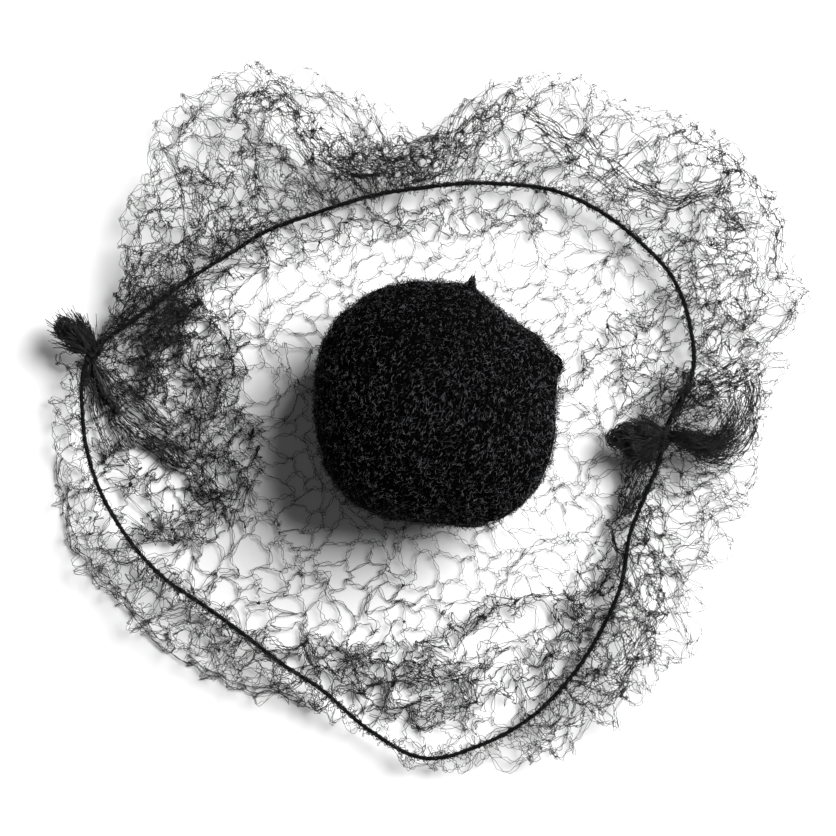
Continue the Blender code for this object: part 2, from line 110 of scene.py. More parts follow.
# Every 10 degrees, anticlockwise from the right.
REACHES = tuple(Reach(*pair) for pair in (
    (86.3, 61.1), (90.5, 67.8), (100.3, 70.2), (103.1, 71.1), (102.9, 69.4), (98.2, 67.7),
    (94.0, 65.5), (92.0, 62.2), (83.8, 59.6), (71.1, 57.6), (80.8, 57.1), (91.9, 57.2), (100.5, 58.4),
    (99.2, 61.1), (93.0, 63.7), (88.1, 68.6), (80.9, 75.4), (88.6, 85.0), (92.4, 85.1), (93.4, 83.5),
    (94.2, 80.3), (90.5, 76.7), (87.6, 72.1), (84.8, 70.1), (80.3, 70.6), (77.6, 72.5), (81.3, 78.8),
    (87.4, 84.5), (88.2, 82.4), (90.5, 78.8), (89.3, 73.7), (88.1, 68.6), (87.3, 64.0), (80.4, 58.9),
    (82.4, 58.1), (83.6, 59.4),
))


class Loft(NamedTuple):
    """Height of the belly's crest and of the elastic in one direction, as shares."""

    crest: float
    rise: float


# Every 15 degrees, anticlockwise from the right.
LOFTS = tuple(Loft(*pair) for pair in (
    (0.78, 1.05), (0.95, 0.95), (1.15, 0.90), (1.20, 0.90), (1.10, 0.95), (1.05, 1.00), (0.90, 1.05),
    (1.05, 1.00), (1.20, 0.95), (1.20, 0.90), (0.90, 0.90), (0.42, 1.00), (0.55, 0.90), (0.62, 0.75),
    (0.62, 0.70), (0.62, 0.70), (0.55, 0.70), (0.48, 0.72), (0.46, 0.70), (0.62, 0.68), (0.80, 0.70),
    (0.90, 0.80), (0.90, 0.90), (0.80, 1.00),
))


class Gather(NamedTuple):
    """Net drawn together along a line, in several thicknesses.

    The line's steps give x, y and half width in millimetres. Across and along say how far a cell
    is drawn in each way, as shares of its relaxed size; the lift is in millimetres.
    """

    edge: Edge
    layers: int
    across: float
    along: float
    lift: float
    line: tuple[tuple[float, float, float], ...]


def loose(layers: int, across: float, along: float, lift: float, *line: tuple) -> Gather:
    """A gather whose cells simply end at its edge."""
    return Gather(Edge.LOOSE, layers, across, along, lift, line)


def drawn(layers: int, across: float, along: float, lift: float, *line: tuple) -> Gather:
    """A gather whose cells squeeze together where it narrows."""
    return Gather(Edge.DRAWN, layers, across, along, lift, line)


FLOOR_GATHERS = (
    loose(2, 0.40, 0.80, 3.5, (-82.1, 16.8, 1.0), (-76.1, 13.5, 3.5), (-71.1, 11.0, 4.5),
          (-67.5, 8.0, 3.8)),
    loose(3, 0.42, 0.80, 4.5, (-81.1, 17.8, 1.5), (-73.6, 21.2, 4.5), (-67.4, 24.2, 6.0),
          (-61.1, 28.8, 5.0), (-56.1, 33.2, 3.0)),
    loose(3, 0.42, 0.80, 2.5, (-69.0, 7.5, 3.0), (-66.1, 17.2, 5.0), (-62.4, 24.8, 4.0),
          (-58.6, 29.8, 3.0)),
    drawn(2, 0.16, 2.20, 3.0, (-83.1, 16.0, 0.8), (-77.4, 8.8, 1.6), (-71.1, 3.6, 1.7),
          (-65.6, -0.9, 1.6), (-62.9, -3.5, 1.3)),
    drawn(2, 0.17, 2.20, 3.0, (-83.6, 15.2, 0.8), (-79.4, 6.0, 1.8), (-74.4, -0.8, 2.1),
          (-67.1, -6.6, 2.2), (-60.4, -11.6, 2.6)),
    drawn(1, 0.42, 1.20, 3.0, (-70.1, -4.4, 1.2), (-64.1, -8.2, 2.0), (-59.4, -11.6, 2.4),
          (-54.9, -16.2, 3.2), (-51.9, -20.0, 4.0)),
    drawn(1, 0.16, 2.20, 2.5, (-84.1, 14.2, 0.7), (-82.4, 4.8, 1.0), (-80.4, -3.2, 1.3),
          (-78.1, -9.4, 2.0)),
    drawn(1, 0.17, 2.20, 2.0, (-82.1, 9.5, 0.8), (-77.4, -1.5, 1.6), (-74.1, -8.2, 2.2)),
    loose(1, 0.60, 0.80, 3.0, (-72.1, 9.8, 2.5), (-66.1, 4.2, 4.0), (-60.4, -2.0, 4.5),
          (-58.4, -7.0, 3.5)),
    loose(1, 0.70, 0.80, 3.0, (-52.4, 37.0, 3.0), (-50.4, 29.0, 4.0), (-48.4, 20.2, 4.5),
          (-47.4, 10.2, 4.0)),
    loose(1, 0.45, 0.90, 2.0, (-79.9, -6.5, 1.5), (-76.4, -9.2, 2.0), (-73.1, -9.0, 1.5)),
    loose(2, 0.60, 0.75, 2.5, (-58.6, 29.8, 3.5), (-56.1, 19.8, 5.5), (-54.9, 9.8, 7.5),
          (-53.1, -0.2, 9.5), (-52.4, -10.2, 9.0), (-50.6, -20.2, 7.0), (-56.9, -26.5, 4.5),
          (-65.6, -28.0, 3.0), (-73.4, -26.8, 2.0)),
    loose(1, 0.45, 0.80, 3.5, (-54.9, 12.2, 2.0), (-53.4, 6.0, 3.0), (-52.4, 0.0, 2.5)),
    loose(1, 0.68, 0.75, 2.5, (-43.6, -55.2, 2.5), (-33.6, -58.2, 4.0), (-23.6, -60.8, 6.0),
          (-11.6, -64.2, 8.0), (0.4, -66.5, 8.5), (10.4, -67.8, 7.0), (17.4, -68.2, 4.0)),
    loose(1, 0.40, 0.90, 3.5, (-12.4, -67.8, 2.0), (-18.6, -62.8, 2.0), (-23.6, -59.0, 2.0),
          (-31.1, -57.8, 2.0), (-41.1, -56.5, 1.8)),
    loose(1, 0.45, 0.90, 3.5, (-9.9, -64.8, 2.0), (-1.1, -64.8, 2.5), (6.4, -64.0, 2.5),
          (10.1, -67.8, 2.5), (7.6, -73.2, 2.0), (-1.1, -76.5, 1.5), (-4.9, -79.0, 1.2)),
    loose(2, 0.38, 1.10, 3.5, (-3.6, -57.8, 1.0), (3.9, -55.2, 1.5), (11.4, -50.2, 1.8),
          (18.9, -46.6, 1.8), (26.4, -44.5, 1.3), (31.4, -43.2, 1.0), (36.4, -45.2, 1.0),
          (41.4, -48.2, 1.0)),
    loose(1, 0.45, 1.00, 3.0, (11.4, -67.8, 1.5), (13.9, -60.2, 2.0), (17.6, -55.2, 1.5)),
    loose(1, 0.45, 0.90, 3.5, (52.9, 25.2, 2.0), (58.9, 28.8, 3.0), (63.9, 32.2, 2.5)),
    loose(1, 0.75, 0.80, 3.0, (50.4, 27.2, 3.0), (52.4, 18.2, 6.5), (54.4, 9.8, 6.5), (52.9, 1.2, 4.5)),
    loose(1, 0.60, 1.00, 2.0, (33.9, 4.8, 1.5), (40.1, 12.2, 1.8), (43.9, 18.5, 1.8),
          (46.4, 24.8, 1.5)),
    drawn(3, 0.28, 0.90, 5.5, (58.1, -4.2, 1.8), (54.9, -10.2, 3.2), (53.1, -15.2, 3.2),
          (51.4, -20.2, 2.2), (50.1, -24.2, 1.2)),
    loose(1, 0.50, 0.90, 4.0, (51.4, -22.8, 1.5), (47.9, -29.0, 2.5), (47.6, -36.0, 2.8),
          (46.4, -43.2, 2.0)),
    loose(1, 0.75, 0.80, 3.0, (51.9, -18.2, 3.5), (48.4, -30.2, 4.5), (44.4, -44.2, 5.0),
          (36.4, -58.2, 4.5), (26.4, -67.2, 3.0)),
    loose(2, 0.40, 0.90, 6.0, (55.9, -0.5, 1.5), (58.9, 4.8, 2.6), (62.6, 8.0, 2.6), (64.9, 13.0, 1.4)),
    loose(1, 0.50, 0.85, 3.0, (-22.4, -60.2, 3.0), (-14.4, -61.0, 4.0), (-5.4, -63.2, 4.5),
          (2.6, -66.2, 3.5)),
    loose(1, 0.60, 0.85, 3.0, (43.4, -38.2, 3.5), (38.4, -47.2, 5.0), (31.4, -56.2, 5.0),
          (23.9, -65.2, 4.0), (17.4, -71.2, 3.0)),
    loose(1, 0.78, 0.85, 2.5, (-52.4, 35.2, 3.0), (-40.1, 41.0, 4.5), (-23.4, 46.2, 4.5),
          (-5.4, 49.2, 4.0), (13.4, 50.2, 3.5), (30.4, 49.2, 2.5)),
    loose(1, 0.85, 0.85, 2.5, (-79.1, -5.0, 3.0), (-75.4, -13.0, 5.0), (-69.6, -19.6, 5.0),
          (-64.4, -24.0, 3.0)),
    loose(1, 0.60, 0.85, 3.0, (-19.4, -66.0, 2.5), (-12.4, -71.0, 3.0), (-4.4, -72.8, 3.0),
          (3.1, -72.0, 2.5)),
    loose(1, 0.80, 0.90, 2.5, (-75.4, -32.2, 2.5), (-62.4, -41.8, 3.5), (-50.4, -49.8, 3.5),
          (-41.4, -55.8, 2.5)),
    drawn(1, 0.34, 1.40, 1.0, (-91.1, -8.0, 0.8), (-90.5, -16.2, 1.1), (-87.2, -31.4, 1.3),
          (-77.1, -44.5, 1.4), (-66.0, -55.3, 1.4), (-53.5, -63.8, 1.3), (-39.4, -68.3, 1.1),
          (-26.0, -71.5, 0.9)),
)

BACK_GATHERS = (
    loose(1, 0.80, 0.80, 0.8, (-56.6, 46.2, 4.0), (-52.6, 54.8, 5.0), (-49.6, 63.5, 4.0)),
    loose(2, 0.45, 0.80, 1.0, (-77.4, 26.0, 2.0), (-71.1, 31.8, 4.5), (-64.9, 36.0, 5.0),
          (-56.1, 41.0, 4.5), (-47.4, 45.2, 3.5), (-37.4, 49.2, 2.5)),
    loose(1, 0.50, 0.85, 0.8, (-74.1, 33.5, 1.5), (-70.4, 41.0, 3.0), (-66.6, 48.5, 3.5),
          (-60.4, 56.2, 3.0), (-56.4, 62.5, 2.0)),
    loose(2, 0.38, 0.90, 1.0, (-47.6, 74.2, 1.5), (-44.6, 78.0, 2.0), (-39.6, 80.8, 2.4),
          (-33.6, 78.8, 2.6), (-29.6, 74.0, 2.6), (-28.1, 69.8, 3.0), (-24.9, 65.2, 4.0),
          (-18.6, 62.8, 5.0), (-11.1, 62.8, 5.6), (-2.4, 64.8, 5.2), (5.1, 67.2, 4.6),
          (11.4, 71.2, 3.0), (17.9, 76.5, 2.0), (23.1, 80.2, 1.2)),
    loose(1, 0.35, 0.90, 1.0, (-22.4, 64.5, 2.0), (-12.4, 62.0, 3.0), (-2.4, 63.5, 3.0),
          (6.4, 66.2, 2.0)),
    loose(1, 0.35, 1.00, 0.8, (-46.6, 75.8, 1.2), (-45.4, 70.0, 1.3), (-43.6, 63.5, 1.6),
          (-42.1, 57.2, 2.0), (-40.6, 51.8, 2.4)),
    loose(1, 0.45, 1.00, 0.8, (-34.9, 67.2, 1.2), (-34.1, 59.8, 1.5), (-33.6, 53.5, 1.8)),
    loose(1, 0.60, 0.90, 0.8, (-31.1, 54.8, 2.0), (-21.1, 57.2, 3.0), (-6.1, 59.8, 3.0),
          (6.4, 61.8, 2.5)),
    drawn(1, 0.37, 1.90, 0.8, (25.1, 77.2, 1.5), (31.9, 72.2, 2.5), (40.4, 66.5, 4.0),
          (48.4, 60.8, 4.5), (56.4, 55.7, 3.6), (62.6, 54.0, 2.6), (68.9, 57.0, 1.8),
          (73.9, 59.2, 1.4)),
    loose(2, 0.38, 0.90, 0.8, (70.4, 65.8, 1.0), (75.6, 64.0, 2.0), (77.4, 60.0, 2.2),
          (73.9, 56.5, 2.0), (74.6, 52.5, 1.8), (77.9, 48.5, 2.0), (76.4, 46.3, 2.0),
          (69.9, 44.0, 1.6)),
    loose(1, 0.35, 0.90, 0.8, (69.9, 44.0, 1.5), (75.6, 41.0, 1.5), (80.4, 37.5, 1.6),
          (82.4, 33.0, 2.0), (80.9, 29.5, 2.0), (77.0, 26.5, 2.4)),
    loose(1, 0.40, 1.20, 0.5, (80.4, 60.0, 1.0), (84.4, 54.6, 1.2), (87.4, 50.0, 1.2),
          (86.4, 46.0, 1.2), (88.2, 42.4, 1.2), (87.4, 38.2, 1.4), (86.9, 32.2, 1.2)),
    loose(1, 0.50, 1.10, 0.5, (60.4, 73.5, 1.0), (65.4, 70.6, 1.2), (70.0, 69.2, 1.3),
          (74.4, 65.0, 1.5)),
    loose(1, 0.50, 1.10, 0.5, (64.1, 61.8, 0.8), (67.6, 63.8, 1.0), (71.6, 66.0, 1.0)),
    loose(1, 0.60, 0.80, 0.8, (73.9, 29.8, 5.0), (75.1, 22.2, 6.0), (74.4, 12.8, 6.0)),
    loose(1, 0.75, 0.80, 0.8, (61.6, 45.8, 3.0), (66.6, 37.2, 4.5), (68.4, 28.8, 4.0)),
    loose(3, 0.38, 0.90, 1.0, (63.9, 5.0, 2.5), (69.4, 8.2, 3.2), (74.4, 9.0, 3.0), (79.4, 10.6, 2.4),
          (83.1, 12.2, 1.6)),
    loose(2, 0.45, 0.90, 1.0, (61.4, -1.0, 2.0), (64.9, 1.8, 2.8), (69.4, 2.6, 2.6), (73.4, 4.2, 1.8)),
    drawn(2, 0.25, 1.30, 1.0, (66.9, -8.0, 1.5), (73.1, -9.2, 2.4), (78.4, -6.2, 2.6),
          (80.9, -1.2, 2.2), (81.4, 4.8, 2.0), (80.9, 9.5, 1.6)),
    drawn(1, 0.25, 1.20, 1.0, (66.4, 1.0, 1.2), (68.9, 3.5, 1.2), (72.6, 3.5, 1.2), (74.4, -0.2, 1.5),
          (72.6, -4.8, 1.5), (68.9, -5.2, 1.2)),
    drawn(2, 0.25, 1.00, 0.5, (66.4, 11.8, 1.2), (63.9, 4.5, 1.8), (60.1, -1.0, 2.2)),
    loose(1, 0.46, 0.75, 0.8, (55.1, -20.2, 2.5), (56.4, -30.2, 3.5), (55.4, -40.2, 4.5),
          (53.9, -47.8, 6.0), (48.9, -57.8, 7.0), (43.9, -65.2, 6.5), (36.4, -71.5, 5.0),
          (26.4, -76.8, 3.0)),
    loose(1, 0.40, 1.00, 1.0, (57.6, -41.5, 1.4), (56.4, -50.2, 1.8), (52.6, -57.8, 1.8),
          (50.1, -65.2, 1.8), (43.9, -67.8, 1.4)),
    loose(1, 0.95, 0.90, 0.8, (-82.1, -22.2, 2.0), (-78.4, -31.8, 3.5), (-71.6, -39.0, 5.0),
          (-60.1, -48.0, 5.0), (-47.6, -58.0, 4.5), (-35.1, -65.5, 3.0), (-23.6, -72.2, 2.0)),
    loose(1, 0.40, 1.00, 0.5, (-43.6, -56.5, 1.2), (-31.1, -65.2, 1.5), (-21.1, -73.2, 1.2)),
    loose(1, 0.50, 1.00, 0.5, (-91.1, 17.2, 1.2), (-89.1, 11.0, 1.8), (-86.6, 4.8, 1.4)),
    drawn(1, 0.25, 1.00, 0.3, (-83.6, 14.8, 1.2), (-84.4, 9.8, 1.0), (-84.9, 2.8, 0.8)),
    drawn(1, 0.25, 1.00, 0.3, (-82.4, 18.5, 1.4), (-77.4, 21.8, 1.4), (-71.4, 25.8, 1.2)),
)


class RopeStep(NamedTuple):
    """A step of the bunched net beyond the right knot: millimetres, and its half width."""

    x: float
    y: float
    lift: float
    spread: float


ROPE = (
    RopeStep(58.0, -4.2, 0.0, 1.5),
    RopeStep(62.5, -4.4, 1.2, 2.0),
    RopeStep(67.0, -5.8, 2.0, 2.6),
    RopeStep(71.4, -6.8, 2.4, 3.1),
    RopeStep(75.4, -4.6, 2.8, 3.0),
    RopeStep(77.6, 1.0, 3.0, 2.8),
    RopeStep(78.2, 8.0, 3.0, 2.4),
)


class Lock(NamedTuple):
    """A lock of a tuft: heading at its root and its turn in degrees, its climb, reach in mm."""

    bearing: float
    curl: float
    climb: float
    reach: float


LEFT_LOCKS = (
    Lock(172, -8, 0.00, 8.5),
    Lock(161, -4, 0.12, 11.0),
    Lock(152, 0, 0.00, 12.6),
    Lock(144, 0, 0.12, 13.3),
    Lock(136, 2, 0.00, 13.2),
    Lock(128, 3, 0.12, 12.6),
    Lock(120, 3, 0.08, 11.6),
    Lock(109, 0, 0.05, 9.6),
)

RIGHT_LOCKS = (
    Lock(132, 28, 0.05, 7.5),
    Lock(150, 20, 0.15, 10.5),
    Lock(166, 10, 0.05, 12.5),
    Lock(178, 2, 0.15, 14.0),
    Lock(190, 0, 0.05, 14.0),
    Lock(204, 0, 0.05, 13.0),
    Lock(219, -4, -0.05, 12.5),
)


class Lump(NamedTuple):
    """A ball of tangled filament in a tuft: its middle and radius in millimetres."""

    x: float
    y: float
    lift: float
    radius: float


LEFT_LUMPS = (
    Lump(-84.6, 18.6, 0.0, 2.0),
    Lump(-86.9, 21.8, 0.4, 2.4),
    Lump(-89.9, 23.0, 0.8, 2.5),
)

RIGHT_LUMPS = (
    Lump(57.4, -4.0, 0.3, 2.4),
    Lump(54.6, -2.6, 0.6, 2.9),
    Lump(50.4, -3.2, 0.5, 3.3),
    Lump(47.9, -4.9, 0.3, 2.6),
    Lump(51.9, -7.2, 0.0, 3.0),
    Lump(55.6, -8.6, -0.4, 2.4),
)


# Reach of the pad's side in millimetres, every 15 degrees, anticlockwise from the right.
PAD_SIDES = (
    29.8, 31.0, 31.0, 28.6, 28.6, 30.6, 30.6, 31.6, 32.5, 33.0, 33.0, 31.8, 31.2, 31.4, 32.6, 33.1,
    32.3, 30.6, 30.4, 32.0, 33.0, 32.8, 31.9, 30.6,
)


def round_values(values: Sequence[float], directions: np.ndarray) -> np.ndarray:
    """Smooth values between those at even steps round the full turn.

    Args:
        values: The values at the even steps.
        directions: Directions in degrees.

    Returns:
        One value for each direction.
    """
    column = np.array(values, float)
    count = len(column)
    place = (directions % 360.0) / 360.0 * count
    at = np.floor(place).astype(int)
    t = place - at
    before, here, there, after = (column[(at + k) % count] for k in (-1, 0, 1, 2))
    bend = 2 * before - 5 * here + 4 * there - after
    twist = 3 * (here - there) + after - before
    return here + 0.5 * t * (there - before + t * (bend + t * twist))


def apart(first: np.ndarray, second: float) -> np.ndarray:
    """Signed angles from the second direction to the first ones, from -180 to 180 degrees."""
    return (first - second + 180.0) % 360.0 - 180.0


def bearing(points: np.ndarray) -> np.ndarray:
    """Directions of points seen from the middle, in degrees."""
    return np.degrees(np.arctan2(points[..., 1], points[..., 0]))


def smooth_step(low: float, high: float, value: np.ndarray) -> np.ndarray:
    """Rises smoothly from 0 at low to 1 at high."""
    t = np.clip((value - low) / (high - low), 0.0, 1.0)
    return t * t * (3.0 - 2.0 * t)


def unit(vectors: np.ndarray) -> np.ndarray:
    """The vectors at length one."""
    return vectors / np.maximum(np.linalg.norm(vectors, axis=-1, keepdims=True), 1e-12)


def lengths_along(line: np.ndarray) -> np.ndarray:
    """Length along a line up to each of its points."""
    return np.concatenate(([0.0], np.cumsum(np.linalg.norm(np.diff(line, axis=0), axis=1))))


def frame_along(run: np.ndarray) -> tuple[np.ndarray, np.ndarray]:
    """Level directions across the given ones, and the directions over both."""
    across = unit(np.cross(run, UP))
    return across, np.cross(across, run)


def catmull(points: np.ndarray, count: int) -> np.ndarray:
    """A smooth open line through points.

    Args:
        points: The points to pass through, one row each.
        count: How many points the line gets.

    Returns:
        Evenly timed points along the line.
    """
    padded = np.vstack((2 * points[0] - points[1], points, 2 * points[-1] - points[-2]))
    place = np.linspace(0.0, len(points) - 1.0, count)
    at = np.minimum(place.astype(int), len(points) - 2)
    t = (place - at)[:, None]
    a, b, c, d = (padded[at + k] for k in range(4))
    return b + 0.5 * t * (c - a + t * (2 * a - 5 * b + 4 * c - d + t * (3 * (b - c) + d - a)))


def mesh_piece(name: str, corners: np.ndarray, quads: np.ndarray) -> bpy.types.Object:
    """A smooth shaded object made of quads.

    Args:
        name: The object's name.
        corners: Corner positions, one row each.
        quads: Four corner numbers for each face.

    Returns:
        The new object, linked to the scene.
    """
    mesh = bpy.data.meshes.new(name)
    mesh.vertices.add(len(corners))
    mesh.vertices.foreach_set("co", corners.astype(np.float32).ravel())
    mesh.loops.add(quads.size)
    mesh.loops.foreach_set("vertex_index", quads.astype(np.int32).ravel())
    mesh.polygons.add(len(quads))
    mesh.polygons.foreach_set("loop_start", np.arange(0, quads.size, 4, dtype=np.int32))
    mesh.update(calc_edges=True)
    mesh.shade_smooth()
    made = bpy.data.objects.new(name, mesh)
    bpy.context.scene.collection.objects.link(made)
    return made


def tubes(name: str, paths: np.ndarray, radius: np.ndarray, sides: int = 3) -> bpy.types.Object:
    """Thin round strands along many paths of equal point count, as one object.

    Args:
        name: The object's name.
        paths: Points, as strands by points by three.
        radius: Strand radius, one number or one for each strand and point.
        sides: Corners round a strand.

    Returns:
        The new object.
    """
    strands, steps, _ = paths.shape
    run = unit(np.gradient(paths, axis=1))
    overall = unit(paths[:, -1] - paths[:, 0] + 1e-9)
    lean = np.where(np.abs(overall[:, 2:3]) > STEEP, [[1.0, 0.0, 0.0]], [UP])
    across = np.cross(run, lean[:, None, :])
    flat = np.linalg.norm(across, axis=-1, keepdims=True) < NEARLY_ALONG
    across = unit(np.where(flat, np.cross(run, SPARE_WAY), across))
    over = np.cross(run, across)
    turn = np.arange(sides) * 2 * math.pi / sides
    wide = np.broadcast_to(np.asarray(radius, float), (strands, steps))[:, :, None, None]
    ring = np.cos(turn)[:, None] * across[:, :, None, :] + np.sin(turn)[:, None] * over[:, :, None, :]
    corners = paths[:, :, None, :] + wide * ring
    strand = np.arange(strands)[:, None, None] * steps * sides
    step = np.arange(steps - 1)[None, :, None] * sides
    side = np.arange(sides)[None, None, :]
    after = (side + 1) % sides
    low = strand + step
    quads = np.stack((low + side, low + after, low + sides + after, low + sides + side), axis=-1)
    return mesh_piece(name, corners.reshape(-1, 3), quads.reshape(-1, 4))


class Waves:
    """Smooth noise over the flat net, as a sum of waves of about one length."""

    # Shortest and longest wave, as shares of the mean length.
    LENGTHS = (0.65, 1.6)

    def __init__(self, seed: int, length: float, count: int = 28) -> None:
        """Draws the waves.

        Args:
            seed: Seed of the draw.
            length: Mean wave length in metres.
            count: How many waves are added.
        """
        draw = np.random.default_rng(seed)
        heading = draw.uniform(0.0, 2 * math.pi, count)
        pitch = 2 * math.pi / (length * draw.uniform(*self.LENGTHS, count))
        self.waves = np.stack((np.cos(heading), np.sin(heading))) * pitch
        self.start = draw.uniform(0.0, 2 * math.pi, count)
        self.size = math.sqrt(2.0 / count)

    def value(self, flat: np.ndarray) -> np.ndarray:
        """The noise at flat points, mostly between -1.5 and 1.5."""
        return self.size * np.cos(flat @ self.waves + self.start).sum(axis=-1)

    def slope(self, flat: np.ndarray) -> np.ndarray:
        """The noise's slope at flat points."""
        return -self.size * np.sin(flat @ self.waves + self.start) @ self.waves.T


def grey(value: float, blue: float = 1.0) -> tuple[float, float, float, float]:
    """A grey colour, with more or less blue in it."""
    return value, value, value * blue, 1.0


@dataclass(frozen=True)
class Finish:
    """A surface made of shader nodes."""

    name: str

    def begin(self) -> bpy.types.Material:
        """A new material with its surface shader."""
        made = bpy.data.materials.new(self.name)
        made.use_nodes = True
        return made

    @staticmethod
    def pattern(tree: bpy.types.NodeTree, kind: str, scale: float) -> bpy.types.Node:
        """A pattern of the given kind that lies fixed on the object."""
        place = tree.nodes.new("ShaderNodeTexCoord")
        made = tree.nodes.new(kind)
        made.inputs["Scale"].default_value = scale
        tree.links.new(place.outputs["Object"], made.inputs["Vector"])
        return made

    @staticmethod
    def tint(tree: bpy.types.NodeTree, factor: bpy.types.NodeSocket, low: tuple, high: tuple,
             onset: float = 0.0, full: float = 1.0) -> None:
        """Colours the surface by a factor.

        Args:
            tree: The material's nodes.
            factor: Where the factor comes from.
            low: The colour up to the onset.
            high: The colour from the full value on.
            onset: Where the colour begins to change.
            full: Where it has changed.
        """
        tint = tree.nodes.new("ShaderNodeValToRGB")
        for stop, position, colour in zip(tint.color_ramp.elements, (onset, full), (low, high)):
            stop.position = position
            stop.color = colour
        tree.links.new(factor, tint.inputs["Fac"])
        tree.links.new(tint.outputs["Color"], tree.nodes["Principled BSDF"].inputs["Base Color"])


@dataclass(frozen=True)
class StrandFinish(Finish):
    """Black nylon filament: dark, a little glossy, lighter in spots along its length; bright spots, as on
    the pad's knit, are painted glints.
    """

    dark: float = 0.002
    # The spots' colour: a random tone at this low default; set bright, as for the pad's knit, it is a
    # painted glint.
    light: float = 0.009
    onset: float = 0.35
    full: float = 0.7
    smooth: float = 0.34
    rough: float = 0.55
    shine: float = 0.3
    grain: float = 900.0
    detail: float = 3.0
    dark_blue: float = 1.05
    light_blue: float = 1.08

    def make(self) -> bpy.types.Material:
        """Builds the material with its noise driven colour and roughness."""
        made = self.begin()
        tree = made.node_tree
        shader = tree.nodes["Principled BSDF"]
        noise = self.pattern(tree, "ShaderNodeTexNoise", self.grain)
        noise.inputs["Detail"].default_value = self.detail
        self.tint(tree, noise.outputs["Fac"], grey(self.dark, self.dark_blue),
                  grey(self.light, self.light_blue), self.onset, self.full)
        spread = tree.nodes.new("ShaderNodeMapRange")
        spread.inputs["To Min"].default_value = self.smooth
        spread.inputs["To Max"].default_value = self.rough
        tree.links.new(noise.outputs["Fac"], spread.inputs["Value"])
        tree.links.new(spread.outputs["Result"], shader.inputs["Roughness"])
        shader.inputs["Specular IOR Level"].default_value = self.shine
        return made


@dataclass(frozen=True)
class ClothFinish(Finish):
    """Dense black knit: matt, with a fine woven bump and a faint sheen."""

    dark: float = 0.0004
    light: float = 0.0016
    roughness: float = 0.9
    shine: float = 0.01
    pitch: float = 1400.0
    depth: float = 0.4
    bump: float = 0.3 * MM

    def make(self) -> bpy.types.Material:
        """Builds the material with a fine cellular bump."""
        made = self.begin()
        tree = made.node_tree
        shader = tree.nodes["Principled BSDF"]
        cells = self.pattern(tree, "ShaderNodeTexVoronoi", self.pitch)
        self.tint(tree, cells.outputs["Distance"], grey(self.light), grey(self.dark))
        bump = tree.nodes.new("ShaderNodeBump")
        bump.inputs["Strength"].default_value = self.depth
        bump.inputs["Distance"].default_value = self.bump
        tree.links.new(cells.outputs["Distance"], bump.inputs["Height"])
        tree.links.new(bump.outputs["Normal"], shader.inputs["Normal"])
        shader.inputs["Roughness"].default_value = self.roughness
        shader.inputs["Specular IOR Level"].default_value = self.shine
        return made


@dataclass(frozen=True)
class GroundFinish(Finish):
    """Plain pale matt ground."""

    shade: float = 0.9
    unevenness: float = 0.01
    mottle: float = 6.0
    roughness: float = 0.9

    def make(self) -> bpy.types.Material:
        """Builds the material with a barely uneven tone."""
        made = self.begin()
        tree = made.node_tree
        noise = tree.nodes.new("ShaderNodeTexNoise")
        noise.inputs["Scale"].default_value = self.mottle
        low = self.shade * (1.0 - self.unevenness)
        self.tint(tree, noise.outputs["Fac"], grey(low), grey(self.shade))
        tree.nodes["Principled BSDF"].inputs["Roughness"].default_value = self.roughness
        return made


def dress(piece: bpy.types.Object, material: bpy.types.Material,
          replaced: Iterable[str] = ()) -> None:
    """Gives a piece its material and its place on the frame.

    Args:
        piece: The finished piece, in the row frame.
        material: Its material.
        replaced: The solids that it stands for.
    """
    piece.data.materials.append(material)
    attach(piece, ROOT)
    if replaced:
        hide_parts(*replaced)
    LOG.info("%s: %d triangles", piece.name, 2 * len(piece.data.polygons))


def honeycomb(long: float, wide: float, cell: float, jitter: float,
              draw: np.random.Generator) -> np.ndarray:
    """Both ends of every side of a flat honeycomb that covers a rectangle round the origin.

    Args:
        long: Half of the rectangle's length.
        wide: Half of its width.
        cell: Distance between the middles of neighbouring cells.
        jitter: How far the cells' corners stray.
        draw: The source of unevenness.

    Returns:
        The sides, as sides by two by two.
    """
    edge = cell / math.sqrt(3)
    rows = int(wide / (1.5 * edge)) + 2
    columns = int(long / cell) + rows // 2 + 2
    column, row = np.meshgrid(np.arange(-columns, columns + 1), np.arange(-rows, rows + 1))
    near = np.stack((cell * (column + 0.5 * row), 1.5 * edge * row), axis=-1)
    far = near + [0.0, edge]
    near = near + draw.normal(0.0, jitter, near.shape)
    far = far + draw.normal(0.0, jitter, far.shape)
    ends = ((near, far), (near[1:], far[:-1]), (near[1:, :-1], far[:-1, 1:]))
    return np.concatenate([np.stack((a.reshape(-1, 2), b.reshape(-1, 2)), 1) for a, b in ends])


